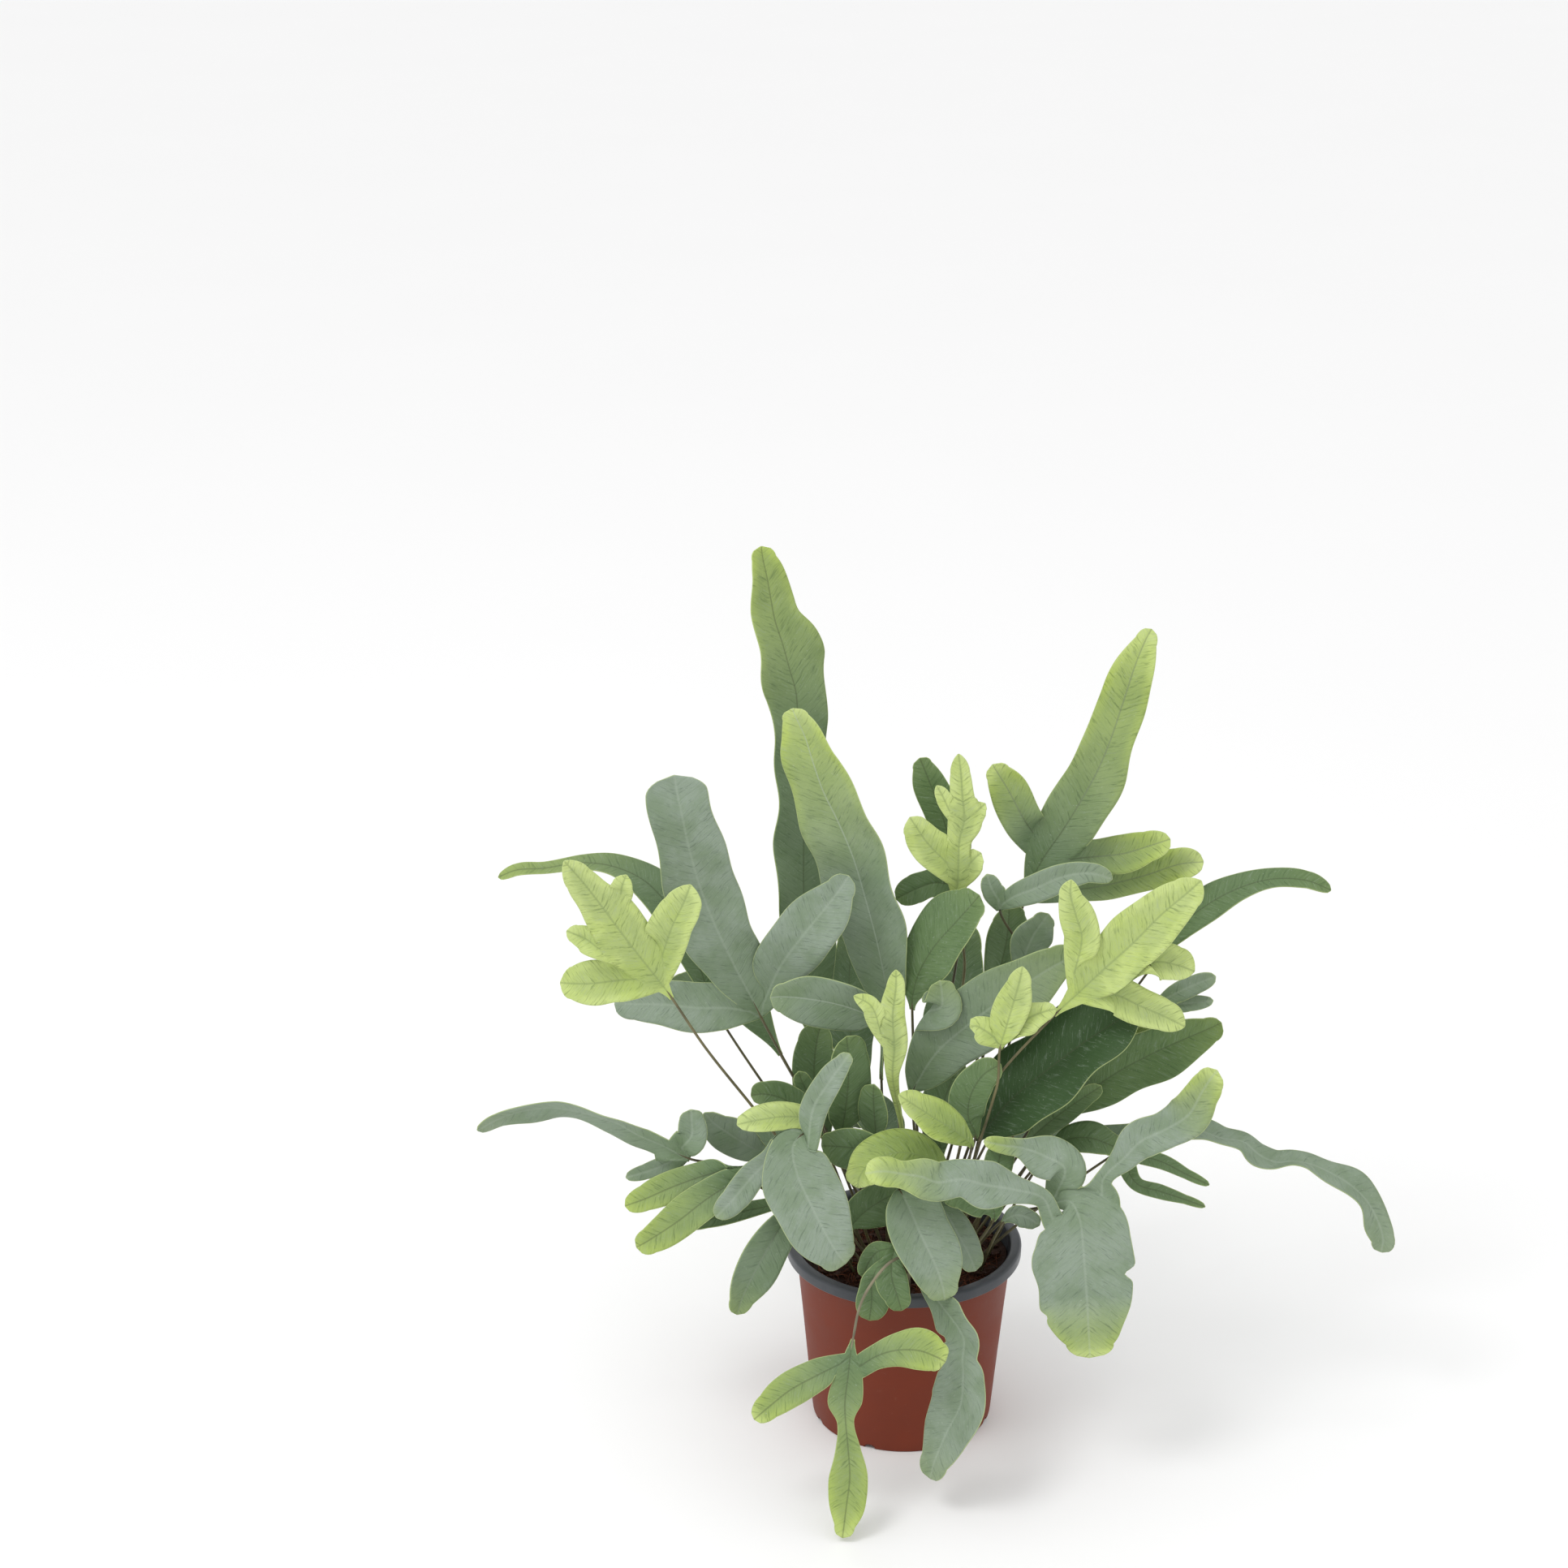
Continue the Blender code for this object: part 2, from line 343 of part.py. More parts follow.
def principled(name, colour, roughness):
    material = bpy.data.materials.new(name)
    material.use_nodes = True
    shader = material.node_tree.nodes["Principled BSDF"]
    shader.inputs["Base Color"].default_value = (*colour, 1.0)
    shader.inputs["Roughness"].default_value = roughness
    return material


def add_object(name, mesh, collection, colour, roughness):
    thing = bpy.data.objects.new(name, mesh)
    collection.objects.link(thing)
    mesh.materials.append(principled(name, colour, roughness))
    return thing


def point_seen_at(across, down, depth):
    """The point behind one dot of the front view that lies in the upright plane y = depth."""
    rise = (PICTURE / 2 - down) / FOCAL
    ray = Vector(((across - PICTURE / 2) / FOCAL,
                  math.cos(EYE_PITCH) + rise * math.sin(EYE_PITCH),
                  rise * math.cos(EYE_PITCH) - math.sin(EYE_PITCH)))
    return EYE + ray * ((depth - EYE.y) / ray.y)


def control(point):
    """One row of a frond's table as (x, y, z, half width, turn)."""
    across, down, depth, half = point[:4]
    turn = math.radians(point[4]) if len(point) > 4 else 0.0
    return [*point_seen_at(across, down, depth), half, turn]


def turned_about(controls, degrees):
    """A frond's rows turned about its own length, and wider, so that it shows as wide as before."""
    turn = math.radians(degrees)
    return [[x, y, z, half / math.cos(turn), own + turn] for x, y, z, half, own in controls]


def chord(a, b):
    return math.dist(a[:3], b[:3])


def smooth_between(controls, index, share):
    """A point of the smooth line through the controls, a share of the way along one stretch."""
    a, b = controls[index], controls[index + 1]
    span = chord(a, b)

    def slope(i):
        before, after = controls[max(i - 1, 0)], controls[min(i + 1, len(controls) - 1)]
        here = controls[i]
        run = chord(before, here) + chord(here, after)
        return [(q - p) / run * span for p, q in zip(before, after)]

    ma, mb = slope(index), slope(index + 1)
    u, u2, u3 = share, share**2, share**3
    point = [(2 * u3 - 3 * u2 + 1) * p + (u3 - 2 * u2 + u) * s + (3 * u2 - 2 * u3) * q + (u3 - u2) * t
             for p, q, s, t in zip(a, b, ma, mb)]
    point[3] = max(point[3], min(a[3], b[3]) * 0.8)
    return point


def frame_at(place, ahead, turn):
    """The blade's across and face directions where its line runs from place towards ahead."""
    along = (Vector(ahead) - Vector(place)).normalized()
    to_eye = (EYE - Vector(place)).normalized()
    across = along.cross(to_eye).normalized()
    face = across.cross(along)
    return across * math.cos(turn) + face * math.sin(turn), face * math.cos(turn) - across * math.sin(turn)


def sample_line(controls, counts):
    """Rows along the line: each is a smooth point with its across and face directions and the
    length run so far."""
    rows, run, last = [], 0.0, None
    for index, count in enumerate(counts):
        steps = range(count + 1) if index == len(counts) - 1 else range(count)
        for step in steps:
            share = step / count
            here = smooth_between(controls, index, share)
            near = smooth_between(controls, index, min(share + 0.02, 1.0))
            back = smooth_between(controls, index, max(share - 0.02, 0.0))
            across, face = frame_at(back[:3], near[:3], here[4])
            if last is not None:
                run += chord(last, here)
            rows.append((Vector(here[:3]), here[3], across, face, run))
            last = here
    return rows


def row_points(row, cells, wave):
    """The points of one row of a blade, from its left margin to its right one."""
    place, half, across, face, run = row
    points = []
    for cell in range(cells + 1):
        side = 2 * cell / cells - 1
        lift = CUP * half * abs(side)
        if half > 2 * STIPE_HALF:
            lift += wave * side * math.sin(run / 6.5 + 1.3 * side) * min(half / 10, 1)
        points.append(place + across * (side * half) + face * lift)
    return points


class Blade:
    """The open surface of one frond: a stipe and blade, with its lobes grown from the margins."""

    def __init__(self, wave):
        self.mesh = bmesh.new()
        self.thick = {}
        self.wave = wave

    def add_point(self, place, thick):
        vertex = self.mesh.verts.new(place * MM)
        self.thick[vertex] = thick
        return vertex

    def add_row(self, points, half, edge_thick=True):
        made = []
        for index, place in enumerate(points):
            at_edge = index in (0, len(points) - 1)
            if half <= 2 * STIPE_HALF and not at_edge:
                thick = THICK_STIPE
            elif half <= STIPE_HALF * 1.5:
                thick = THICK_STIPE * 0.8
            else:
                thick = THICK_EDGE if at_edge and edge_thick else THICK_RIB
            made.append(self.add_point(place, thick))
        return made

    def join(self, one, two):
        for a, b, c, d in zip(one, one[1:], two[1:], two):
            self.mesh.faces.new((a, b, c, d))


def lobe(blade, parent_rows, side, points, wave):
    """A lobe whose foot is the margin of three rows of its parent."""
    foot = [row[0 if side == "left" else -1] for row in parent_rows]
    places = [vertex.co / MM for vertex in foot]
    middle = places[1]
    half_foot = (places[-1] - places[0]).length / 2
    controls = [[*middle, half_foot, control(points[0])[4]]] + [control(p) for p in points]
    rows = sample_line(controls, [1] * (len(controls) - 1))
    if (places[-1] - places[0]).dot(rows[0][2]) < 0:
        foot.reverse()
    last = foot
    for row in rows[1:]:
        here = blade.add_row(row_points(row, 2, wave), max(row[1], 2 * STIPE_HALF + 0.1))
        blade.join(last, here)
        last = here


def foot_controls(foot_x, foot_y, first, second):
    """The stalk from its hole to the frond's first point, with one more control just before that
    point where the frond turns sharply there, so that it arches over."""
    foot = [[foot_x, foot_y, SOIL_TOP - HOLE_DEPTH + GAP, STIPE_HALF, 0.0],
            [foot_x, foot_y, SOIL_TOP + 2, STIPE_HALF, 0.0]]
    rise = Vector(first[:3]) - Vector(foot[1][:3])
    if rise.angle(Vector(second[:3]) - Vector(first[:3])) > SHARP_BEND:
        before = Vector(first[:3]) - rise.normalized() * min(ARCH, rise.length / 3)
        foot.append([*before, STIPE_HALF, first[4]])
    return foot


def make_frond(name, collection):
    colour, (foot_x, foot_y), wave, points, lobes = FRONDS[name]
    controls = turned_about([control(p) for p in points], TURNS.get(name, 0))
    foot = foot_controls(foot_x, foot_y, *controls[:2])
    controls = foot + controls
    lobed = {index + len(foot) for _, index, _ in lobes}
    counts = []
    for index in range(len(controls) - 1):
        length = chord(controls[index], controls[index + 1])
        bare = controls[index + 1][3] <= 2 * STIPE_HALF and controls[index][3] <= 2 * STIPE_HALF
        if index in lobed:
            counts.append(2)
        elif bare and index > 0:
            counts.append(max(1, math.ceil(length / STIPE_STEP)))
        else:
            counts.append(1)
    rows = sample_line(controls, counts)
    blade = Blade(wave)
    made = []
    for row in rows:
        made.append(blade.add_row(row_points(row, 2, wave), row[1]))
        if len(made) > 1:
            blade.join(made[-2], made[-1])
    for side, index, lobe_points in lobes:
        start = sum(counts[:index + len(foot)])
        lobe(blade, made[start:start + 3], side, lobe_points, wave)
    return finish_blade(name, blade, collection, colour)


def finish_blade(name, blade, collection, colour):
    """Splits the surface into triangles and lets Solidify thicken it to both sides."""
    bmesh.ops.triangulate(blade.mesh, faces=blade.mesh.faces)
    bmesh.ops.recalc_face_normals(blade.mesh, faces=blade.mesh.faces)
    blade.mesh.verts.index_update()
    weights = {vertex.index: thick / THICK_STIPE for vertex, thick in blade.thick.items()}
    mesh = bpy.data.meshes.new(name)
    blade.mesh.to_mesh(mesh)
    blade.mesh.free()
    thing = add_object(name, mesh, collection, colour, 0.5)
    group = thing.vertex_groups.new(name="thickness")
    for index, weight in weights.items():
        group.add([index], weight, "REPLACE")
    solid = thing.modifiers.new("Solidify", "SOLIDIFY")
    solid.thickness = THICK_STIPE * MM
    solid.offset = 0
    solid.vertex_group = group.name
    return thing


def turned(name, profile, collection, colour, roughness):
    """A turned solid from a profile of (radius, height) that runs down its outer side."""
    mesh = bpy.data.meshes.new(name)
    places = [(radius * MM, 0.0, height * MM) for radius, height in profile]
    mesh.from_pydata(places, [(i, i + 1) for i in range(len(places) - 1)], [])
    thing = add_object(name, mesh, collection, colour, roughness)
    screw = thing.modifiers.new("Screw", "SCREW")
    screw.steps = SIDES
    screw.render_steps = SIDES
    screw.use_merge_vertices = True
    screw.merge_threshold = 0.00005
    screw.use_smooth_shade = True
    return thing


def wall_radius(height):
    """The outer radius of the pot's tapered wall at a height."""
    share = height / (POT_HEIGHT - LIP_HEIGHT)
    return BASE_RADIUS + (WALL_TOP_RADIUS - BASE_RADIUS) * share


def make_pot(collection, cutters):
    under_lip = POT_HEIGHT - LIP_HEIGHT
    inner_top = WALL_TOP_RADIUS - WALL + 0.8
    roll = [(LIP_RADIUS - LIP_ROUND * (1 - math.sin(a)), POT_HEIGHT - LIP_ROUND * (1 - math.cos(a)))
            for a in (0.0, math.pi / 4, math.pi / 2)]
    profile = [(0, WALL), (BASE_RADIUS - WALL - 1, WALL), (BASE_RADIUS - WALL, WALL + 1.5),
               (inner_top, POT_HEIGHT - 2), (inner_top + 1.5, POT_HEIGHT - 0.3),
               (inner_top + 2.5, POT_HEIGHT)]
    profile += roll
    profile += [(LIP_RADIUS - 0.4, under_lip), (LIP_RADIUS - 2, under_lip),
                (WALL_TOP_RADIUS + 0.1, under_lip + 0.6), (wall_radius(4), 4), (wall_radius(1), 1),
                (BASE_RADIUS - 1.2, 0), (0, 0)]
    pot = turned("pot", profile, collection, TERRACOTTA, 0.45)
    notch_maker = bmesh.new()
    for number in range(NOTCHES):
        angle = 2 * math.pi * (number + 0.5) / NOTCHES
        made = bmesh.ops.create_cone(notch_maker, cap_ends=True, segments=8, radius1=NOTCH_RADIUS * MM,
                                     radius2=NOTCH_RADIUS * MM, depth=NOTCH_LENGTH * MM)
        turn_out = Vector((math.cos(angle), math.sin(angle), 0))
        spin = Vector((0, 0, 1)).rotation_difference(turn_out)
        for vertex in made["verts"]:
            vertex.co = spin @ vertex.co + turn_out * (BASE_RADIUS + NOTCH_OUT) * MM
            vertex.co.z -= NOTCH_DROP * MM
    mesh = bpy.data.meshes.new("notch_cutter")
    notch_maker.to_mesh(mesh)
    notch_maker.free()
    cutter = bpy.data.objects.new("notch_cutter", mesh)
    cutters.objects.link(cutter)
    cut(pot, cutter)
    return pot


def cut(thing, cutter):
    cutter.hide_render = True
    cutter.display_type = "WIRE"
    boolean = thing.modifiers.new("Cut", "BOOLEAN")
    boolean.operation = "DIFFERENCE"
    boolean.object = cutter
    boolean.solver = "EXACT"


def make_soil(collection, cutters):
    inside = WALL + GAP
    profile = [(0, SOIL_TOP), (wall_radius(SOIL_TOP) - inside - 0.4, SOIL_TOP),
               (BASE_RADIUS - inside - 0.5, WALL + 4), (BASE_RADIUS - inside - 2.5, WALL + GAP),
               (0, WALL + GAP)]
    soil = turned("soil", profile, collection, COIR, 0.95)
    holes = bmesh.new()
    for row in FRONDS.values():
        made = bmesh.ops.create_cone(holes, cap_ends=True, segments=HOLE_SIDES, radius1=HOLE_RADIUS * MM,
                                     radius2=HOLE_RADIUS * MM, depth=2 * HOLE_DEPTH * MM)
        for vertex in made["verts"]:
            vertex.co += Vector((row[1][0], row[1][1], SOIL_TOP)) * MM
    mesh = bpy.data.meshes.new("hole_cutter")
    holes.to_mesh(mesh)
    holes.free()
    cutter = bpy.data.objects.new("hole_cutter", mesh)
    cutters.objects.link(cutter)
    cut(soil, cutter)
    return soil


def main():
    clear_scene()
    plant = new_collection("blue_star_fern")
    cutters = new_collection("cutters")
    make_pot(plant, cutters)
    make_soil(plant, cutters)
    for name in FRONDS:
        make_frond(name, plant)


main()
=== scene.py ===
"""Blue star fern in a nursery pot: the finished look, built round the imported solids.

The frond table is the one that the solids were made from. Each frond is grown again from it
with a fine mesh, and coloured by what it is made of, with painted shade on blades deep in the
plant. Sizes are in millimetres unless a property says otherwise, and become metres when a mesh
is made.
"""

import math
import random

import bpy
import numpy as np
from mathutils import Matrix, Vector, noise
from mathutils.kdtree import KDTree


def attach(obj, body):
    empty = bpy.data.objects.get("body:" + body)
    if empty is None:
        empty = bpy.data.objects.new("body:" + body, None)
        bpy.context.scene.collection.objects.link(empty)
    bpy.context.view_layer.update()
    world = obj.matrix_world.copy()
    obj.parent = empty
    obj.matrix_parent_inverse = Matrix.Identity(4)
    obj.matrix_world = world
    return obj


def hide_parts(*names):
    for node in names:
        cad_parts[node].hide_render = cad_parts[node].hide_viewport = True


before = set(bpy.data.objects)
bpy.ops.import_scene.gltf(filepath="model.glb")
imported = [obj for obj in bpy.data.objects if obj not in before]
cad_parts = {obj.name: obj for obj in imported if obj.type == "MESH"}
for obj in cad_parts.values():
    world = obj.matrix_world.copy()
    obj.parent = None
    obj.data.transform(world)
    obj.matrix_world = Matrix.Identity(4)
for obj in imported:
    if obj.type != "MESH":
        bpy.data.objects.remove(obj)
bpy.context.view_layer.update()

bl_info = {
    "name": "Blue star fern",
    "version": (1, 0, 0),
    "blender": (4, 5, 0),
    "location": "3D View > Sidebar > Fern",
    "description": "Grows a potted blue star fern frond by frond",
    "category": "Add Mesh",
}

MM = 0.001

# The pot and its soil, as in the solids
POT_HEIGHT = 96.6
LIP_RADIUS = 60.0
LIP_HEIGHT = 6.0
WALL_TOP_RADIUS = 54.2
BASE_RADIUS = 45.7
WALL = 1.2
LIP_ROUND = 1.4
NOTCHES = 8
NOTCH_RADIUS = 3.2
NOTCH_LENGTH = 12.0
NOTCH_OUT = 1.5
NOTCH_DROP = 0.8
LIP_BEND = 0.7
LIP_INSIDE = 2.0
SOIL_TOP = 88.0
SOIL_RINGS = 56
SOIL_SIDES = 220
GAP = 0.3
HOLE_DEPTH = 12.0

# The blades, as in the solids
STIPE_HALF = 0.9
BARE_HALF = 1.8
CUP = 0.16
SHARP_BEND = math.radians(60)
ARCH = 8.0

# The finer form of a blade: how pointed its tip is and half the width it ends with, how its
# margin swells and draws in, how far its rib and veins stand up, how much the side veins slant,
# and how many millimetres one unit of the vein map holds
OLD_TIP = 0.5
YOUNG_TIP = 0.8
TIP_HALF = 0.35
SLOW_SWELL = 0.055
QUICK_SWELL = 0.035
RIB_RELIEF = 0.4
VEIN_RELIEF = 0.035
VEIN_SLANT = 0.75
PER_UV = 100.0

# Where a blade counts as shaded: how far back and how low in the plant, in millimetres
SHADE_FRONT = -40.0
SHADE_DEPTH = 140.0
SHADE_TOP = 230.0
SHADE_FALL = 260.0

# The wiry stalk: its radius at the soil, how much it loses on the way to the blade, the thinnest
# it gets, how far it lies under the blade, and how far along the blade it still shows
STIPE_RADIUS = 0.85
STIPE_TAPER = 0.2
STIPE_THINNEST = 0.12
STIPE_UNDER = 0.45
STIPE_END = 0.8

# The front view that places the fronds, in dots of a square picture
PICTURE = 1932.0
FOCAL = 3848.0
EYE = Vector((-60.7, -1400.5, 870.4))
EYE_PITCH = math.radians(20.64)
SENSOR = 36.0

# The light, in metres
KEY_PLACE = Vector((-0.8, -0.7, 1.7))
KEY_AIM = Vector((0, 0, 0.2))
KEY_SIZE = 0.7

# The colour groups of the fronds, each grown with its own leaf material
GREEN = "frond_green"
GREY = "frond_grey"
LIME = "frond_lime"

# One row for each frond: name, colour, foot on the soil (x, y), wave height, degrees that it is
# turned about its own length, the line of its stipe and midrib from foot to tip, and its lobes.
# A point is (across, down, depth, half width) with an optional turn of the blade's face there.
# A lobe grows from one side of one stretch of that line, and has its own points.
FRONDS = {
    "tall_back": (GREEN, (-6, 24), 1.5, -32, [(1012, 1300, 36, 1.4), (1003, 1240, 40, 9),
        (992, 1160, 46, 13), (990, 1095, 50, 14), (990, 1027, 54, 15), (986, 950, 58, 14),
        (983, 900, 61, 13.5), (981, 855, 63, 14), (972, 822, 65, 16.3), (964, 793, 67, 15.2),
        (955, 765, 68, 12.3), (950, 740, 69, 11.3), (945, 712, 70, 8.8), (940, 688, 71, 5.8),
        (938, 673, 72, 1.8)]),
    "tall_front": (GREEN, (2, 8), 1.2, 32, [(1102, 1300, 8, 1.2), (1096, 1240, 10, 7),
        (1083, 1171, 12, 14.5), (1069, 1117, 14, 16.5), (1052, 1059, 16, 16.5), (1032, 1011, 18, 16),
        (1014, 974, 19, 14.5), (1001, 937, 20, 13), (992, 908, 21, 10.5), (981, 884, 21, 6.5),
        (976, 873, 21, 1.8)]),
    "upright_right": (GREEN, (20, 24), 1.5, 0, [(1262, 1110, 30, 1.3), (1283, 1062, 31, 8),
        (1310, 1022, 33, 13.6), (1333, 985, 35, 14.6), (1352, 950, 36, 14.6), (1369, 910, 38, 12.4),
        (1383, 868, 39, 11.8), (1398, 822, 40, 9.7), (1411, 790, 41, 5.5), (1419, 775, 41, 1.4)],
        ("left", 1, [(1262, 1010, 31, 10), (1243, 975, 31, 9.5), (1229, 952, 31, 6), (1223, 942, 31, 1.2)]),
        ("right", 1, [(1345, 1056, 33, 8), (1382, 1052, 34, 9.5), (1414, 1043, 35, 7.4),
            (1442, 1034, 36, 1.5)]),
        ("right", 0, [(1322, 1096, 38, 6), (1365, 1090, 42, 7.5), (1410, 1079, 44, 8.5),
            (1452, 1065, 45, 8), (1483, 1062, 45, 1.6)])),
    "big_left": (GREY, (-12, 14), 1.0, 0, [(938, 1254, 10, 1.4), (924, 1226, 9, 8), (905, 1190, 7, 15),
        (882, 1142, 3, 17.5), (864, 1097, 0, 17.5), (850, 1049, -4, 16.5), (840, 1004, -8, 15.5),
        (834, 975, -8, 15), (831, 955, -9, 12.5)],
        ("right", 0, [(962, 1190, 5, 13), (990, 1152, 3, 14.5), (1016, 1120, 1, 13), (1036, 1094, 0, 7.5),
            (1046, 1079, 0, 1.4)]),
        ("left", 0, [(895, 1242, 14, 11), (860, 1242, 18, 12.5), (820, 1238, 21, 11.5), (782, 1237, 23, 8),
            (757, 1236, 24, 1.6)])),
    "lime_left": (LIME, (-20, 4), 0.8, 0, [(926, 1362, -14, 0.9), (870, 1292, -22, 0.9),
        (828, 1230, -28, 1.2), (818, 1216, -29, 3.2), (779, 1167, -32, 12), (749, 1127, -34, 12.4),
        (731, 1103, -36, 9.4), (713, 1081, -38, 7), (695, 1061, -40, 1.3)],
        ("right", 3, [(828, 1142, -33, 10.5), (842, 1113, -33, 8.5), (851, 1090, -33, 1.6)]),
        ("left", 3, [(760, 1208, -31, 10.5), (728, 1212, -32, 11), (704, 1212, -33, 8),
            (690, 1211, -33, 1.6)]),
        ("left", 4, [(722, 1157, -34, 6.5), (708, 1151, -34, 4.5), (698, 1147, -34, 1.3)]),
        ("right", 5, [(767, 1090, -36, 5), (772, 1078, -36, 1.2)])),
    "far_left": (GREEN, (-22, 26), 0.8, -32, [(884, 1250, 46, 1.2), (862, 1192, 50, 8), (836, 1135, 54, 10),
        (800, 1090, 58, 9), (760, 1069, 62, 6), (717, 1063, 66, 4), (670, 1070, 69, 3), (637, 1072, 72, 3),
        (614, 1081, 74, 1)]),
    "lime_top": (LIME, (9, 18), 0.6, 0, [(1188, 1200, 24, 0.9), (1176, 1108, 17, 1.3),
        (1180, 1090, 16, 4.5), (1182, 1036, 14, 6), (1188, 1010, 13, 8.5), (1186, 982, 12, 6.2),
        (1184, 952, 12, 4.8), (1181, 929, 12, 1)],
        ("left", 2, [(1143, 1039, 13, 9.5), (1129, 1019, 12, 6.5), (1121, 1007, 12, 1.5)]),
        ("left", 4, [(1161, 980, 12, 3.5), (1154, 968, 12, 1.2)]),
        ("right", 4, [(1210, 994, 12, 3), (1214, 990, 12, 1.1)]),
        ("right", 2, [(1203, 1056, 14, 5), (1209, 1051, 14, 1.2)])),
    "back_green": (GREEN, (3, 31), 0.8, 0, [(1186, 1130, 40, 1.2), (1172, 1045, 38, 6), (1160, 1002, 37, 9),
        (1146, 965, 36, 8.5), (1137, 943, 36, 5), (1133, 934, 36, 1.2)],
        ("left", 0, [(1150, 1088, 34, 7.5), (1125, 1097, 33, 7), (1104, 1108, 33, 1.3)])),
    "dark_round": (GREEN, (10, 9), 0.8, 32, [(1124, 1244, 4, 1.2), (1130, 1205, 2, 9), (1150, 1168, 0, 14),
        (1178, 1136, -1, 13.5), (1198, 1114, -2, 8.5), (1207, 1103, -2, 1.8)]),
    "green_mid": (GREEN, (14, 25), 0.8, -32, [(1225, 1232, 24, 1.2), (1232, 1195, 23, 9),
        (1240, 1160, 22, 11.5), (1243, 1130, 21, 8), (1243, 1116, 21, 1.6)]),
    "grey_arch": (GREY, (19, 16), 0.6, 0, [(1262, 1190, 14, 0.9), (1232, 1122, 8, 1.6), (1246, 1107, 4, 5),
        (1275, 1095, 0, 7), (1308, 1081, -3, 7), (1342, 1076, -5, 5), (1371, 1083, -6, 1.2)],
        ("left", 1, [(1222, 1095, 6, 5), (1216, 1077, 6, 1.2)])),
    "grey_small": (GREY, (25, 10), 0.5, -20, [(1262, 1218, 6, 0.9), (1262, 1182, 5, 6),
        (1272, 1155, 4, 9.5), (1285, 1135, 3, 5.5), (1292, 1126, 3, 1.2)]),
    "big_middle": (GREY, (12, 1), 1.0, 0, [(1124, 1352, -6, 1.3), (1135, 1325, -8, 9),
        (1157, 1294, -10, 15), (1190, 1265, -13, 16.5), (1230, 1235, -15, 16), (1270, 1208, -17, 13.5),
        (1305, 1187, -19, 8.5), (1328, 1177, -20, 1.6)],
        ("left", 2, [(1160, 1240, -12, 10), (1160, 1220, -12, 6.5), (1158, 1208, -12, 1.4)])),
    "lime_right": (LIME, (22, -3), 0.8, 0, [(1187, 1397, -27, 0.9), (1229, 1327, -32, 0.9),
        (1299, 1251, -35, 1), (1325, 1227, -36, 5), (1355, 1199, -37, 11.5), (1395, 1163, -38, 14),
        (1430, 1128, -39, 12), (1462, 1101, -40, 8), (1480, 1085, -41, 1.3)],
        ("left", 3, [(1333, 1156, -35, 8.6), (1325, 1126, -34, 8.6), (1319, 1103, -33, 5.6),
            (1320, 1084, -33, 1.2)]),
        ("right", 4, [(1422, 1186, -38, 9.5), (1450, 1189, -38, 8), (1472, 1197, -38, 1.3)]),
        ("right", 3, [(1374, 1226, -37, 9.5), (1404, 1239, -37, 9.4), (1434, 1252, -37, 7.6),
            (1460, 1265, -37, 1.4)])),
    "lime_right_low": (LIME, (34, 6), 0.6, -32, [(1296, 1290, 8, 0.9), (1312, 1270, 6, 5),
        (1360, 1262, 4, 8), (1410, 1271, 2, 8.5), (1445, 1268, 1, 5.5), (1462, 1258, 1, 1.2)]),
    "dark_strap": (GREEN, (28, -8), 1.0, 32, [(1205, 1407, -22, 1.3), (1225, 1378, -23, 11),
        (1252, 1349, -24, 18), (1292, 1317, -25, 19.5), (1335, 1285, -26, 18.5), (1370, 1262, -27, 14.5),
        (1393, 1248, -27, 8), (1404, 1241, -27, 2)]),
    "right_strap": (GREEN, (36, -2), 0.8, -32, [(1300, 1385, -4, 1.2), (1337, 1349, -6, 9),
        (1377, 1321, -8, 13), (1420, 1298, -10, 13), (1460, 1280, -12, 10.5), (1490, 1267, -13, 6.5),
        (1505, 1260, -13, 1.3)]),
    "lime_mid": (LIME, (18, -12), 0.5, 0, [(1228, 1340, -38, 0.9), (1232, 1292, -42, 1.2),
        (1239, 1268, -43, 7), (1248, 1238, -44, 8.5), (1256, 1210, -45, 5.5), (1260, 1191, -46, 1.2)],
        ("left", 1, [(1214, 1270, -43, 7), (1202, 1264, -43, 4.5), (1195, 1266, -43, 1.2)]),
        ("right", 1, [(1266, 1256, -43, 7), (1288, 1246, -43, 4.5), (1302, 1243, -43, 1.2)])),
    "lime_small": (LIME, (-1, -4), 0.5, 0, [(1112, 1400, -14, 0.9), (1100, 1328, -22, 3),
        (1102, 1290, -24, 6), (1100, 1252, -25, 6.5), (1104, 1216, -26, 4.5), (1104, 1195, -26, 1.2)],
        ("left", 2, [(1074, 1240, -26, 4.5), (1052, 1227, -26, 1.2)])),
    "left_oval": (GREEN, (-8, 4), 0.6, 32, [(1086, 1330, -6, 0.9), (1084, 1262, -11, 2),
        (1063, 1248, -12, 9), (1030, 1237, -14, 12), (990, 1230, -16, 11.5), (962, 1228, -18, 7),
        (949, 1229, -19, 1.4)]),
    "centre_oval": (GREEN, (-9, -9), 0.6, -32, [(1038, 1402, -20, 1.2), (1041, 1372, -21, 9),
        (1045, 1336, -22, 11), (1045, 1300, -23, 8.5), (1043, 1277, -24, 1.4)]),
    "small_oval": (GREEN, (4, -12), 0.4, 32, [(1082, 1412, -24, 1), (1078, 1380, -25, 6.5),
        (1076, 1350, -26, 5.5), (1077, 1336, -26, 1)]),
    "grey_front": (GREY, (-18, -8), 0.8, 0, [(992, 1396, -44, 1.4), (977, 1412, -49, 11),
        (982, 1446, -54, 17), (998, 1482, -59, 17.5), (1016, 1518, -63, 15.5), (1032, 1545, -66, 10),
        (1042, 1557, -66, 2.4)],
        ("left", 0, [(1002, 1366, -44, 7), (1024, 1330, -42, 6.5), (1040, 1308, -41, 4),
            (1047, 1298, -40, 1)]),
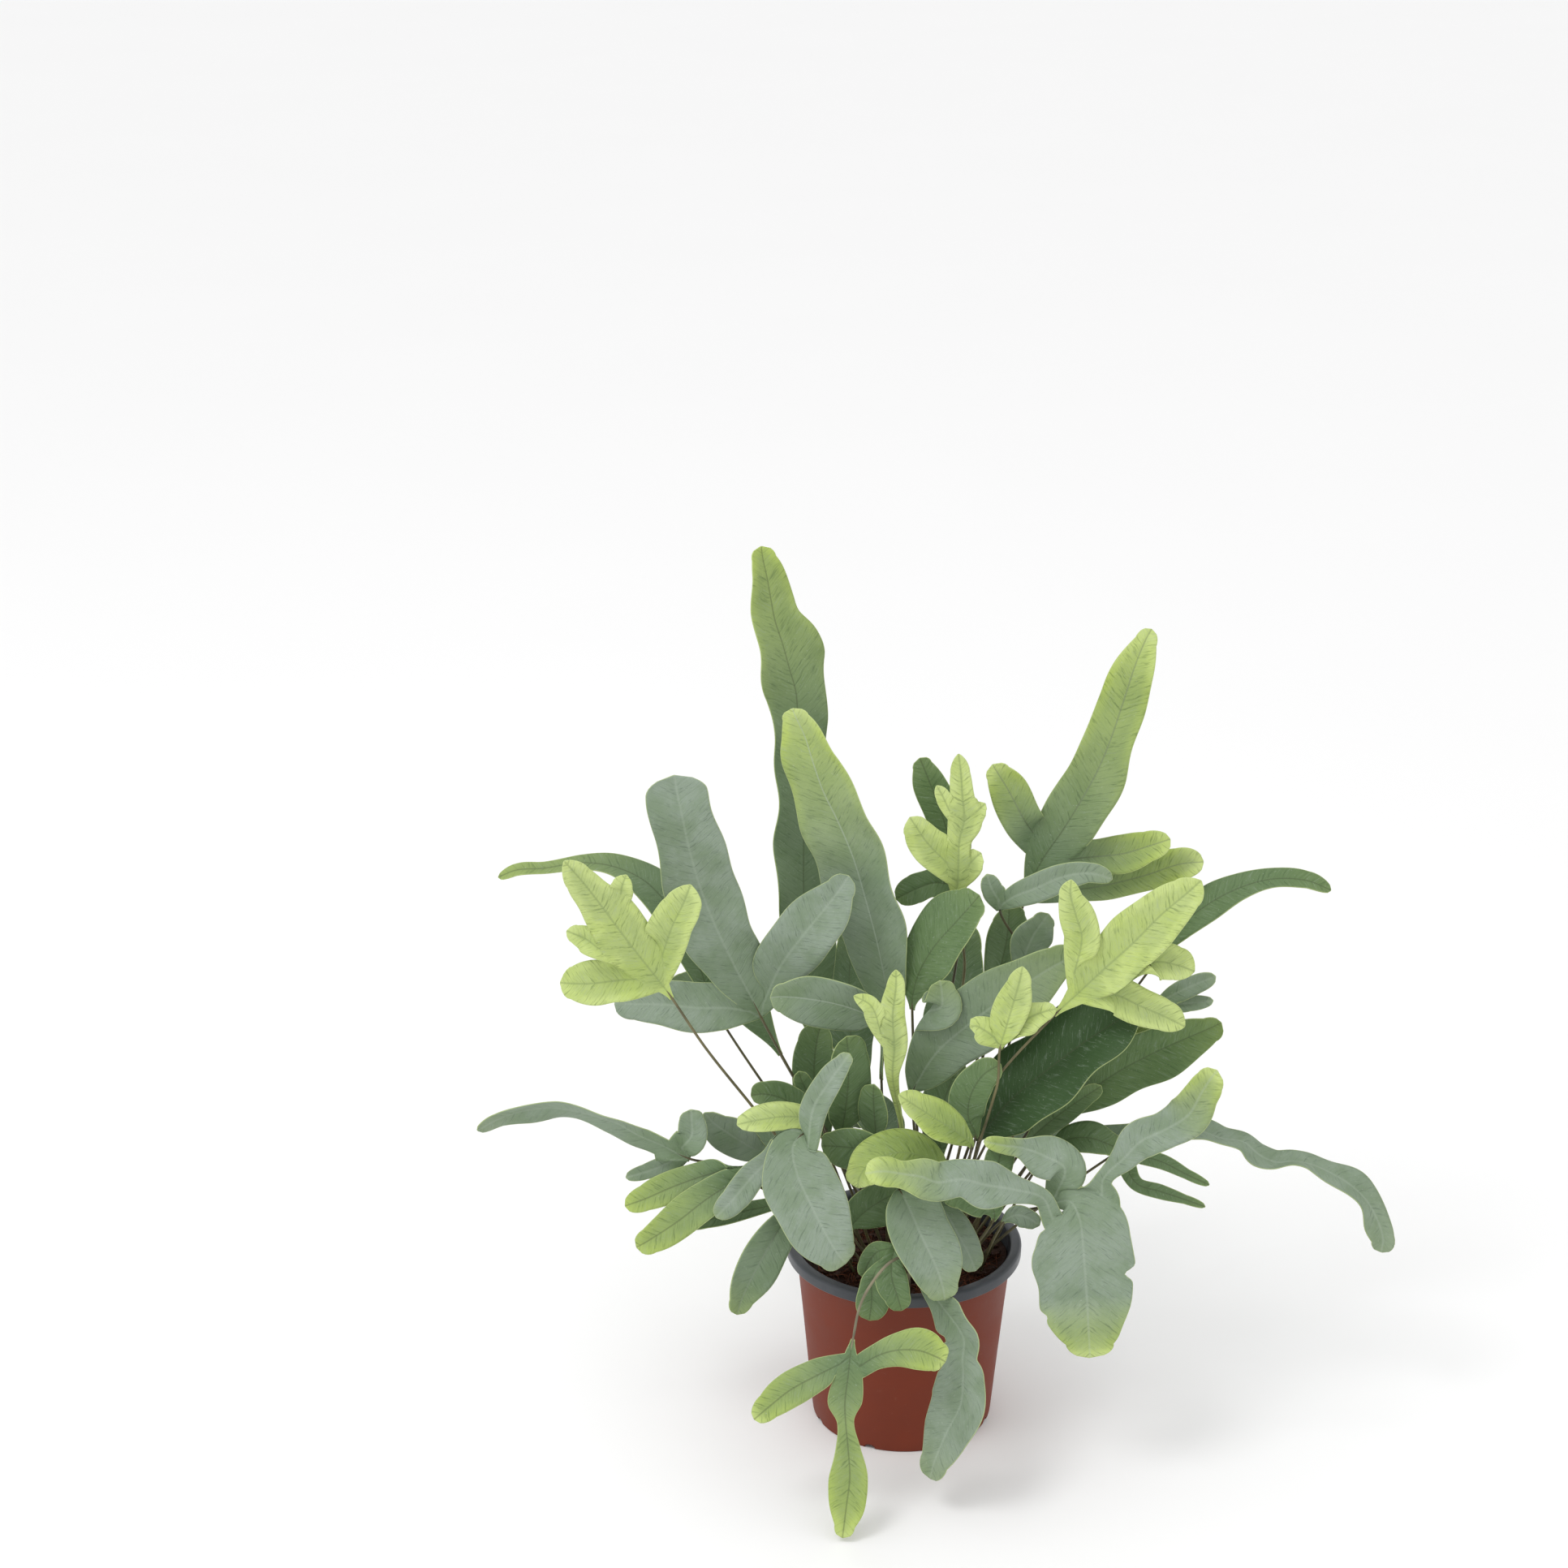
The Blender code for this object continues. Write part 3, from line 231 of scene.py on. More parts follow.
        ("right", 0, [(952, 1424, -41, 5), (925, 1452, -41, 7), (903, 1478, -42, 6.5),
            (882, 1500, -43, 1.4)])),
    "left_lime": (LIME, (-16, -1), 0.4, -32, [(1014, 1385, -28, 1), (996, 1378, -30, 5),
        (966, 1376, -32, 7), (935, 1380, -34, 6.5), (916, 1384, -35, 4), (908, 1386, -36, 1)]),
    "left_stalked": (GREY, (-27, 0), 1.2, 0, [(893, 1437, -18, 0.9), (850, 1428, -20, 1.4),
        (816, 1411, -22, 8, 55), (787, 1399, -23, 9, 60), (760, 1384, -24, 9, 64), (735, 1376, -26, 8, 66),
        (708, 1369, -28, 8, 66), (680, 1365, -30, 9, 64), (647, 1368, -32, 9, 62), (614, 1379, -34, 7, 62),
        (588, 1393, -36, 1.4, 60)],
        ("right", 1, [(852, 1400, -22, 7.5), (852, 1378, -22, 6), (851, 1367, -22, 1.4)]),
        ("left", 1, [(825, 1432, -18, 5), (795, 1444, -17, 3.8), (771, 1451, -17, 1)])),
    "left_pale": (GREY, (-34, 7), 0.5, 32, [(952, 1424, -2, 1), (925, 1413, -4, 7), (900, 1398, -6, 9),
        (880, 1384, -7, 6.5), (868, 1371, -8, 1.4)]),
    "left_low": (GREEN, (-27, -10), 0.6, 0, [(936, 1440, -30, 1.3), (905, 1456, -32, 7),
        (870, 1478, -34, 9), (835, 1505, -36, 9.5), (800, 1528, -38, 6.5), (784, 1537, -39, 1.8)],
        ("right", 0, [(870, 1448, -27, 7), (830, 1462, -27, 8), (795, 1477, -28, 6.5),
            (770, 1486, -28, 1.3)])),
    "left_narrow": (GREEN, (-20, -17), 0.3, -32, [(985, 1473, -14, 1), (955, 1484, -16, 3.2),
        (910, 1494, -18, 4.5), (870, 1504, -20, 4), (846, 1511, -21, 1)]),
    "left_front": (GREEN, (-26, -20), 0.6, 32, [(985, 1484, -40, 1.1), (965, 1506, -46, 7),
        (945, 1540, -52, 9.5), (926, 1575, -57, 9.5), (913, 1603, -60, 6), (908, 1620, -62, 1.3)]),
    "centre_grey": (GREY, (5, -22), 0.8, 20, [(1108, 1466, -52, 1.6), (1117, 1482, -58, 12),
        (1134, 1520, -66, 14), (1153, 1560, -72, 13), (1162, 1588, -75, 8), (1164, 1602, -76, 1.8)]),
    "centre_right": (GREY, (14, -22), 0.4, 32, [(1150, 1475, -37, 1), (1165, 1494, -41, 5),
        (1181, 1522, -45, 6.8), (1195, 1548, -48, 6), (1202, 1566, -50, 1.3)]),
    "front_young": (GREEN, (-5, -31), 0.4, 0, [(1104, 1534, -58, 1), (1099, 1552, -64, 4.5),
        (1099, 1575, -70, 8), (1106, 1598, -74, 6.5), (1111, 1615, -76, 1.2)],
        ("right", 1, [(1074, 1580, -63, 6), (1074, 1604, -64, 8), (1071, 1627, -66, 1.4)]),
        ("right", 0, [(1080, 1543, -57, 5.5), (1069, 1558, -57, 5), (1064, 1574, -58, 1.2)])),
    "hang_left": (GREEN, (1, -44), 0.8, 0, [(1116, 1549, -67, 0.9), (1097, 1555, -74, 0.9),
        (1077, 1577, -78, 0.9), (1060, 1608, -84, 0.9), (1051, 1650, -91, 1), (1048, 1668, -94, 3),
        (1045, 1695, -98, 6.5), (1041, 1728, -102, 8), (1042, 1752, -105, 4), (1045, 1785, -109, 6),
        (1047, 1820, -114, 9.5), (1043, 1855, -119, 9), (1040, 1880, -122, 5), (1038, 1895, -124, 1.2)],
        ("left", 5, [(1078, 1672, -96, 6), (1103, 1664, -97, 8), (1132, 1664, -98, 10),
            (1154, 1672, -98, 7), (1165, 1678, -98, 1.6)]),
        ("right", 5, [(1008, 1694, -97, 7.5), (975, 1712, -98, 8.5), (948, 1733, -99, 6.5),
            (929, 1749, -100, 1.4)])),
    "hang_right": (GREY, (12, -34), 1.5, -32, [(1134, 1568, -58, 1.2), (1143, 1584, -64, 4),
        (1156, 1603, -69, 5.5), (1170, 1621, -75, 8.5), (1181, 1636, -80, 6.8), (1188, 1652, -84, 8),
        (1186, 1674, -87, 7.4), (1187, 1694, -90, 11), (1184, 1730, -94, 14), (1166, 1766, -96, 11.5),
        (1152, 1800, -98, 7), (1146, 1822, -99, 1.8)]),
    "mid_oval": (GREEN, (-6, -17), 0.5, 32, [(1098, 1422, -34, 1), (1076, 1418, -35, 8),
        (1048, 1414, -35, 9.5), (1024, 1412, -34, 7), (1012, 1412, -33, 1.4)]),
    "lime_centre": (LIME, (9, -15), 0.6, -32, [(1165, 1442, -42, 1.2), (1145, 1428, -44, 8),
        (1110, 1420, -46, 11), (1076, 1430, -48, 10.5), (1059, 1450, -49, 6.5), (1057, 1464, -50, 1.6)]),
    "front_right": (GREY, (30, -16), 1.5, 0, [(1242, 1499, -34, 0.9), (1290, 1486, -48, 1.2),
        (1318, 1480, -56, 8), (1330, 1501, -60, 19), (1334, 1528, -63, 22.5), (1336, 1556, -66, 24.4),
        (1338, 1582, -69, 22.6), (1340, 1608, -71, 21.8), (1341, 1632, -73, 17.8), (1342, 1654, -74, 12),
        (1343, 1673, -75, 2.2)],
        ("right", 2, [(1285, 1476, -61, 4.6), (1250, 1466, -65, 6.8), (1215, 1460, -68, 11.5),
            (1185, 1453, -70, 9.2), (1155, 1457, -71, 9.8), (1135, 1450, -72, 9.8), (1110, 1446, -73, 6.6),
            (1088, 1443, -74, 7), (1066, 1446, -74, 1.6)]),
        ("left", 2, [(1360, 1452, -58, 4.5), (1386, 1426, -60, 7), (1406, 1406, -61, 9.3),
            (1436, 1392, -62, 8.8), (1464, 1374, -63, 10.3), (1480, 1347, -64, 8.3), (1491, 1330, -65, 7),
            (1500, 1319, -66, 1.8)]),
        ("left", 1, [(1312, 1440, -52, 10), (1286, 1424, -50, 11), (1258, 1414, -47, 5),
            (1236, 1411, -46, 4), (1212, 1406, -44, 1.4)])),
    "right_twin": (GREEN, (36, -11), 0.3, 0, [(1370, 1424, -10, 1), (1400, 1424, -12, 3.6),
        (1430, 1431, -13, 4), (1462, 1447, -14, 2.6), (1490, 1460, -14, 0.7)],
        ("right", 0, [(1400, 1458, -14, 3.6), (1430, 1468, -15, 3.8), (1460, 1478, -16, 2.4),
            (1485, 1487, -16, 0.7)])),
    "far_right": (GREY, (38, 6), 2.2, 0, [(1310, 1402, 4, 0.9), (1350, 1400, 2, 5), (1400, 1397, 0, 6),
        (1450, 1391, -2, 6.6, 30), (1480, 1394, -3, 7, 45), (1506, 1403, -5, 6.8, 50),
        (1532, 1407, -6, 7.6, 50), (1552, 1423, -7, 8.4, 50), (1572, 1432, -8, 7.4, 50),
        (1594, 1431, -9, 6.8, 50), (1616, 1435, -9, 7.6, 50), (1641, 1446, -10, 7.8, 50),
        (1664, 1460, -11, 8.4, 45), (1684, 1480, -12, 8, 40), (1697, 1503, -14, 8.6, 35),
        (1704, 1526, -16, 6.6, 30), (1702, 1543, -17, 1.5)]),
    "curled": (GREEN, (12, -9), 0.5, 0, [(1202, 1402, -30, 1.2), (1193, 1376, -31, 8),
        (1196, 1350, -32, 9.5), (1211, 1325, -33, 7.5), (1233, 1311, -34, 1.6)]),
    "lime_fold": (LIME, (16, -17), 0.4, -32, [(1197, 1414, -46, 1.1), (1180, 1396, -48, 6.5),
        (1155, 1380, -49, 9.5), (1130, 1364, -50, 6.5), (1107, 1349, -51, 1.2)]),
    "right_pair": (GREY, (37, 15), 0.3, 0, [(1420, 1242, 26, 1), (1445, 1226, 25, 4.6),
        (1475, 1212, 24, 4.8), (1498, 1203, 23, 1)],
        ("right", 0, [(1466, 1236, 25, 4), (1495, 1233, 24, 1)])),
    "right_back": (GREEN, (30, 24), 0.8, 32, [(1420, 1190, 42, 1.1), (1455, 1141, 41, 7),
        (1492, 1112, 40, 8.5), (1530, 1093, 39, 7), (1570, 1083, 38, 5), (1610, 1085, 37, 4),
        (1640, 1097, 36, 1)]),
    "low_left": (GREEN, (-22, 10), 0.4, 0, [(1012, 1400, 4, 1), (990, 1372, 3, 7), (965, 1354, 2, 8),
        (941, 1348, 1, 6), (925, 1350, 1, 1.3)],
        ("right", 0, [(998, 1352, 7, 5), (988, 1332, 7, 4.5), (984, 1320, 7, 1.1)])),
    "crown_left": (GREEN, (-13, -25), 0.5, -32, [(1048, 1517, -34, 1.2), (1058, 1500, -35, 8),
        (1078, 1484, -36, 11), (1100, 1472, -35, 8), (1114, 1466, -34, 1.5)]),
    "right_low": (GREEN, (22, -30), 0.4, 0, [(1224, 1504, -44, 1.1), (1222, 1486, -46, 6.5),
        (1204, 1476, -47, 9), (1180, 1471, -48, 7), (1160, 1474, -48, 1.3)],
        ("right", 1, [(1230, 1434, -42, 7), (1234, 1416, -40, 6), (1236, 1404, -38, 1.4)])),
    "right_under": (GREEN, (43, -4), 0.5, 32, [(1290, 1420, -16, 1), (1316, 1404, -20, 6),
        (1342, 1402, -22, 7.5), (1366, 1410, -23, 5.5), (1382, 1418, -24, 1.3)]),
    "right_narrow": (GREEN, (29, 1), 0.4, -32, [(1262, 1412, -10, 1), (1284, 1390, -12, 5),
        (1312, 1368, -14, 6), (1340, 1349, -16, 4.5), (1357, 1338, -17, 1.2)]),
    "rim_right": (GREY, (38, -21), 0.3, -20, [(1236, 1506, -42, 1), (1252, 1497, -45, 5),
        (1268, 1501, -47, 4.8), (1281, 1510, -48, 1.3)]),
    "centre_dark": (GREEN, (-13, 23), 0.8, 0, [(1022, 1410, 14, 1.2), (1008, 1370, 17, 9),
        (1003, 1325, 20, 12), (1006, 1285, 22, 9), (1012, 1262, 23, 1.5)]),
    "centre_back": (GREEN, (17, 8), 0.8, 32, [(1160, 1425, 8, 1.2), (1156, 1390, 8, 8),
        (1163, 1358, 8, 9.5), (1175, 1325, 8, 7.5), (1184, 1303, 8, 1.5)]),
    "rear_one": (GREEN, (-3, 38), 1.0, -32, [(1064, 1350, 64, 1.2), (1050, 1290, 84, 11),
        (1046, 1230, 102, 13), (1048, 1170, 116, 10), (1050, 1135, 122, 1.6)]),
    "rear_two": (GREEN, (12, 38), 1.0, 32, [(1150, 1350, 64, 1.2), (1165, 1290, 84, 12),
        (1180, 1230, 100, 13), (1190, 1170, 112, 9), (1193, 1138, 117, 1.6)]),
    "rear_three": (GREEN, (26, 34), 1.0, -32, [(1232, 1380, 56, 1.2), (1275, 1335, 74, 12),
        (1320, 1295, 90, 13), (1350, 1275, 101, 8.5), (1366, 1265, 106, 1.6)]),
    "rear_four": (GREEN, (-16, 34), 1.0, 32, [(962, 1300, 66, 1.2), (925, 1240, 80, 10),
        (888, 1216, 94, 11), (850, 1216, 105, 8), (828, 1222, 110, 1.6)]),
    "rear_five": (GREEN, (4, 42), 0.8, -32, [(1096, 1420, 66, 1.2), (1085, 1392, 84, 11),
        (1073, 1372, 102, 12), (1062, 1368, 118, 8), (1056, 1374, 126, 1.6)]),
    "rear_six": (GREEN, (33, 30), 0.8, 32, [(1236, 1420, 60, 1.2), (1262, 1402, 80, 11),
        (1290, 1398, 98, 12), (1308, 1404, 112, 8), (1314, 1410, 118, 1.6)]),
    "rear_seven": (GREEN, (-28, 20), 0.8, -32, [(1000, 1424, 44, 1.2), (960, 1410, 66, 10),
        (925, 1404, 86, 11), (902, 1404, 100, 7), (892, 1408, 106, 1.6)]),
}

# For each frond: how lime its tip is (0 to 1), where along the blade that starts, and how waxy
# grey it is, or below 0 how much darker it is painted, partly its own deeper green and partly
# painted shade. On a lime frond the second is how lime its foot is.
TIPS = {
    "tall_back": (0.75, 0.62, 0.35), "tall_front": (0.95, 0.5, 0.7), "upright_right": (1.0, 0.2, 0.45),
    "big_left": (0.0, 1.0, 1.0), "front_right": (1.0, 0.66, 0.95), "grey_front": (0.2, 0.9, 1.0),
    "hang_left": (0.9, 0.1, 0.35), "hang_right": (0.15, 0.8, 0.85), "left_low": (0.8, 0.25, 0.3),
    "dark_strap": (0.05, 0.9, -0.8), "left_front": (0.3, 0.7, 0.5), "far_left": (0.5, 0.5, 0.25),
    "big_middle": (0.3, 0.5, 0.7), "centre_grey": (0.25, 0.7, 0.85), "left_oval": (0.1, 0.8, 0.7),
    "right_strap": (0.2, 0.7, 0.0), "lime_centre": (0.95, 0.3, 0.1), "lime_fold": (1.0, 0.45, 0.25),
}
PLAIN_TIPS = {GREEN: (0.1, 0.75, 0.12), GREY: (0.1, 0.8, 0.8), LIME: (1.0, 0.85, 0.0)}

PALE_STALKS = ("hang_left",)
WAXED_RIB = (0.40, 0.47, 0.38)

# Bites out of a blade's margin: the side, how far along the blade in mm, how wide, how deep
BITES = {"front_right": ((-1, 53, 2.6, 0.2), (1, 72, 2.2, 0.1))}


class FernFronds(bpy.types.PropertyGroup):
    blade_thickness: bpy.props.FloatProperty(
        name="Blade thickness", description="Thickness at the rib", default=0.0007, unit="LENGTH")
    edge_thickness: bpy.props.FloatProperty(
        name="Edge thickness", description="Thickness at the margin", default=0.00045, unit="LENGTH")
    pitch: bpy.props.FloatProperty(
        name="Mesh pitch", description="Distance between rows of points", default=0.0013, unit="LENGTH")
    vein_spacing: bpy.props.FloatProperty(
        name="Vein spacing", description="Distance between side veins", default=0.0046, unit="LENGTH")
    deep_green: bpy.props.FloatVectorProperty(
        name="Deep green", description="A shaded blade", default=(0.034, 0.076, 0.022), subtype="COLOR")
    leaf_green: bpy.props.FloatVectorProperty(
        name="Leaf green", description="A grown blade", default=(0.108, 0.182, 0.062), subtype="COLOR")
    wax_grey: bpy.props.FloatVectorProperty(
        name="Wax grey", description="The bloom on a blade", default=(0.288, 0.352, 0.282), subtype="COLOR")
    lime: bpy.props.FloatVectorProperty(
        name="Lime", description="Young blades and tips", default=(0.390, 0.500, 0.110), subtype="COLOR")
    pale_lime: bpy.props.FloatVectorProperty(
        name="Pale lime", description="Margins, new tips", default=(0.580, 0.680, 0.280), subtype="COLOR")
    stipe: bpy.props.FloatVectorProperty(
        name="Stipe", description="The wiry stalks", default=(0.130, 0.115, 0.055), subtype="COLOR")


class FernPot(bpy.types.PropertyGroup):
    wall_colour: bpy.props.FloatVectorProperty(
        name="Wall", description="The pot's wall", default=(0.162, 0.028, 0.011), subtype="COLOR")
    lip_colour: bpy.props.FloatVectorProperty(
        name="Lip", description="The lip and the inside", default=(0.055, 0.060, 0.070), subtype="COLOR")
    sides: bpy.props.IntProperty(
        name="Sides", description="Steps round the pot", default=160, min=32)


class FernSoil(bpy.types.PropertyGroup):
    dark: bpy.props.FloatVectorProperty(
        name="Dark soil", description="Damp soil", default=(0.026, 0.009, 0.004), subtype="COLOR")
    fibre: bpy.props.FloatVectorProperty(
        name="Fibre", description="Coir fibre", default=(0.230, 0.066, 0.026), subtype="COLOR")
    roughness: bpy.props.FloatProperty(
        name="Lump height", description="Height of the soil's lumps", default=0.003, unit="LENGTH")
    fibres: bpy.props.IntProperty(
        name="Fibres", description="Number of coir fibres", default=700, min=0)
    chips: bpy.props.IntProperty(
        name="Chips", description="Number of bark and peat chips", default=320, min=0)


class FernStage(bpy.types.PropertyGroup):
    floor: bpy.props.FloatVectorProperty(
        name="Floor", description="The floor's colour", default=(0.93, 0.93, 0.93), subtype="COLOR")
    sky: bpy.props.FloatProperty(
        name="Sky light", description="Strength of the light all round", default=1.0)
    key: bpy.props.FloatProperty(
        name="Key light", description="Power of the key light", default=9.0, unit="POWER")


def settings(name):
    """The values of one group that the panel shows."""
    return getattr(bpy.context.scene, name)


def new_piece(name, points, faces, material, edges=()):
    """A mesh object in the scene from points in millimetres."""
    mesh = bpy.data.meshes.new(name)
    mesh.from_pydata((np.asarray(points, float) * MM).tolist(), edges, faces)
    mesh.materials.append(material)
    piece = bpy.data.objects.new(name, mesh)
    bpy.context.scene.collection.objects.link(piece)
    return piece


def keep_modified(piece):
    """Puts the mesh that a piece's modifiers make in place of its own, and drops them."""
    made = bpy.data.meshes.new_from_object(piece.evaluated_get(bpy.context.evaluated_depsgraph_get()))
    piece.modifiers.clear()
    piece.data = made


def point_seen_at(across, down, depth):
    """The point behind one dot of the front view that lies in the upright plane y = depth."""
    rise = (PICTURE / 2 - down) / FOCAL
    ray = Vector(((across - PICTURE / 2) / FOCAL,
                  math.cos(EYE_PITCH) + rise * math.sin(EYE_PITCH),
                  rise * math.cos(EYE_PITCH) - math.sin(EYE_PITCH)))
    return EYE + ray * ((depth - EYE.y) / ray.y)


def control(point):
    """One row of a frond's table as (x, y, z, half width, turn)."""
    turn = math.radians(point[4]) if len(point) > 4 else 0.0
    return [*point_seen_at(*point[:3]), point[3], turn]


def turned_about(controls, degrees):
    """A frond's rows turned about its own length, and wider, so that it shows as wide as before."""
    turn = math.radians(degrees)
    return [[x, y, z, half / math.cos(turn), own + turn] for x, y, z, half, own in controls]


def unit(vectors):
    """The same directions with length one."""
    return vectors / np.maximum(np.linalg.norm(vectors, axis=-1, keepdims=True), 1e-9)


def smooth_rows(controls, counts, tip_power=OLD_TIP):
    """Rows of (x, y, z, half width, turn) along the smooth line through the controls, and the
    index of the first row of each stretch. A larger tip_power makes the tip more pointed."""
    c = np.array(controls, float)
    gaps = np.linalg.norm(np.diff(c[:, :3], axis=0), axis=1)
    slopes = np.empty_like(c)
    for i in range(len(c)):
        low, high = max(i - 1, 0), min(i + 1, len(c) - 1)
        slopes[i] = (c[high] - c[low]) / gaps[low:high].sum()
    rows, starts = [], [0]
    for i, count in enumerate(counts):
        last = i == len(counts) - 1
        u = np.linspace(0, 1, count + 1)[: count + 1 if last else count, None]
        a, b, ma, mb = c[i], c[i + 1], slopes[i] * gaps[i], slopes[i + 1] * gaps[i]
        part = ((2 * u**3 - 3 * u**2 + 1) * a + (u**3 - 2 * u**2 + u) * ma
                + (3 * u**2 - 2 * u**3) * b + (u**3 - u**2) * mb)
        part[:, 3] = np.maximum(part[:, 3], min(a[3], b[3]) * 0.8)
        if last:
            part[:, 3] = TIP_HALF + (a[3] - TIP_HALF) * np.clip(1 - u[:, 0] ** 2, 0, 1) ** tip_power
        rows.append(part)
        starts.append(starts[-1] + count)
    return np.concatenate(rows), starts


def row_frames(rows):
    """The across and face directions of each row, and the length run from the first row."""
    places = rows[:, :3]
    along = unit(np.gradient(places, axis=0))
    to_eye = unit(np.array(EYE) - places)
    across = unit(np.cross(along, to_eye))
    face = np.cross(across, along)
    turn = rows[:, 4:5]
    run = np.concatenate([[0], np.cumsum(np.linalg.norm(np.diff(places, axis=0), axis=1))])
    return (across * np.cos(turn) + face * np.sin(turn),
            face * np.cos(turn) - across * np.sin(turn), run)


def ruffle(side, run, phase, bites=()):
    """How much wider or narrower a blade is at each place, a little different on its two sides."""
    slow = np.sin(run / 13 + phase + 2.1 * np.sign(side))
    quick = np.sin(run / 5.7 + 2 * phase - 1.4 * np.sign(side))
    width = 1 + SLOW_SWELL * slow + QUICK_SWELL * quick
    for bitten, place, length, depth in bites:
        width = width - depth * (side * bitten > 0.3) * np.exp(-((run - place) / length) ** 2)
    return width


def relief(half, across_mm, side, run, wave, start, spacing):
    """How far a blade's surface stands off its flat form: cupped, waved, ribbed and veined."""
    lift = CUP * half * np.abs(side) ** 1.3
    lift = lift + wave * side * np.sin((run + start) / 6.5 + 1.3 * side) * np.minimum(half / 10, 1)
    lift = lift + 0.7 * np.abs(side) * np.sin(run / 11 + 1.2 * side + wave) * np.minimum(half / 12, 1)
    lift = lift - RIB_RELIEF * np.exp(-(across_mm / 0.8) ** 2) * np.minimum(half / 5, 1)
    vein = np.sin(2 * math.pi * (run - VEIN_SLANT * np.abs(across_mm)) / spacing)
    return lift + VEIN_RELIEF * vein * np.clip(np.abs(across_mm) / 2, 0, 1) * (1 - np.abs(side) ** 4)


class Sheet:
    """The open surface of one frond's blade while it is grown."""

    def __init__(self, wave, spacing, bites):
        self.wave, self.spacing, self.bites = wave, spacing, bites
        self.points, self.faces, self.veins = [], [], []
        self.tipness, self.ribs = [], []
        self.count = 0

    def add_points(self, points, tipness):
        self.points.append(points)
        self.tipness.append(np.full(len(points), tipness))
        self.count += len(points)
        return np.arange(self.count - len(points), self.count)

    def strip(self, rows, frames, cells, start_run, tips, foot=None, first_stretch=0):
        """Adds rows of points across a blade and joins them. foot is an index row that they grow
        from, whose shape fades out over the first stretch."""
        across, face, run = frames
        side = np.linspace(-1, 1, cells + 1)
        half = rows[:, 3:4]
        bites = self.bites if foot is None else ()
        across_mm = side[None] * half * ruffle(side[None], run[:, None], rows[0, 0] + rows[0, 2], bites)
        lift = relief(half, across_mm, side[None], run[:, None], self.wave, start_run, self.spacing)
        grid = (rows[:, None, :3] + across[:, None] * across_mm[..., None]
                + face[:, None] * lift[..., None])
        veins = np.stack([np.broadcast_to(run[:, None] + start_run, across_mm.shape), across_mm], -1)
        made = []
        if foot is not None:
            shift = np.concatenate(self.points)[foot] - grid[0]
            share = np.clip(np.arange(len(rows)) / max(first_stretch, 1), 0, 1)
            grid = grid + ((1 - share) ** 2)[:, None, None] * shift[None]
            made.append(foot)
        for index in range(len(made), len(rows)):
            made.append(self.add_points(grid[index], tips[index]))
        for kept, rows_of in ((self.faces, made), (self.veins, veins)):
            for one, two in zip(rows_of, rows_of[1:]):
                kept.append(np.stack([one[:-1], one[1:], two[1:], two[:-1]], 1))
        return made, grid


def gaps_of(controls):
    """The straight distance from each control to the next."""
    return [math.dist(a[:3], b[:3]) for a, b in zip(controls, controls[1:])]


def stretch_counts(controls, pitch):
    """How many rows each stretch gets: an even number, about one for each pitch."""
    return [max(2, 2 * round(gap / pitch / 2)) for gap in gaps_of(controls)]


def grow_lobe(sheet, stretch, side, points, pitch, parent_tip, tip_power):
    """A lobe whose foot is the margin of one stretch of its parent's rows of points."""
    foot = np.array([row[0 if side == "left" else -1] for row in stretch])
    places = np.concatenate(sheet.points)
    ends = places[foot[-1]] - places[foot[0]]
    middle = places[foot[len(foot) // 2]]
    rib_start = places[stretch[0][len(stretch[0]) // 2]]
    controls = [[*middle, np.linalg.norm(ends) / 2, control(points[0])[4]]] + [control(p) for p in points]
    counts = stretch_counts(controls, pitch)
    rows, _ = smooth_rows(controls, counts, tip_power)
    frames = row_frames(rows)
    if ends @ frames[0][0] < 0:
        foot = foot[::-1]
    share = frames[2] / frames[2][-1]
    tips = parent_tip + (1 - parent_tip) * share
    _, grid = sheet.strip(rows, frames, len(foot) - 1, 0.0, tips, foot, counts[0])
    sheet.ribs.append(np.linspace(rib_start, middle, 12))
    sheet.ribs.append(grid[:, (len(foot) - 1) // 2])


def margin_points(faces):
    """Indices of the points on the open edge of a surface of quads."""
    ends = np.concatenate([faces[:, [0, 1]], faces[:, [1, 2]], faces[:, [2, 3]], faces[:, [3, 0]]])
    pairs, count = np.unique(np.sort(ends, axis=1), axis=0, return_counts=True)
    return np.unique(pairs[count == 1])


def nearest(points, targets):
    """Distance from each point to the nearest target."""
    tree = KDTree(len(targets))
    for index, target in enumerate(targets):
        tree.insert(target, index)
    tree.balance()
    return np.array([tree.find(point)[2] for point in points])


def foot_controls(foot_x, foot_y, first, second):
    """The stalk from its hole to the frond's first point, with one more control just before that
    point where the frond turns sharply there, so that it arches over."""
    foot = [[foot_x, foot_y, SOIL_TOP - HOLE_DEPTH + GAP, STIPE_HALF, 0.0],
            [foot_x, foot_y, SOIL_TOP + 2, STIPE_HALF, 0.0]]
    rise = Vector(first[:3]) - Vector(foot[1][:3])
    if rise.angle(Vector(second[:3]) - Vector(first[:3])) > SHARP_BEND:
        before = Vector(first[:3]) - rise.normalized() * min(ARCH, rise.length / 3)
        foot.append([*before, STIPE_HALF, first[4]])
    return foot


def frond_controls(name):
    """The frond's whole line, the index where its blade starts, and its lobes."""
    _, (foot_x, foot_y), _, turn, points, *lobes = FRONDS[name]
    controls = turned_about([control(p) for p in points], turn)
    foot = foot_controls(foot_x, foot_y, *controls[:2])
    controls = foot + controls
    blade = next(i for i, c in enumerate(controls) if c[3] > BARE_HALF) - 1
    return controls, blade, [(side, index + len(foot), lobe) for side, index, lobe in lobes]


def set_floats(mesh, name, values):
    """One number for each point of a mesh, for its material to read."""
    layer = mesh.attributes.new(name, "FLOAT", "POINT")
    layer.data.foreach_set("value", np.asarray(values, np.float32))


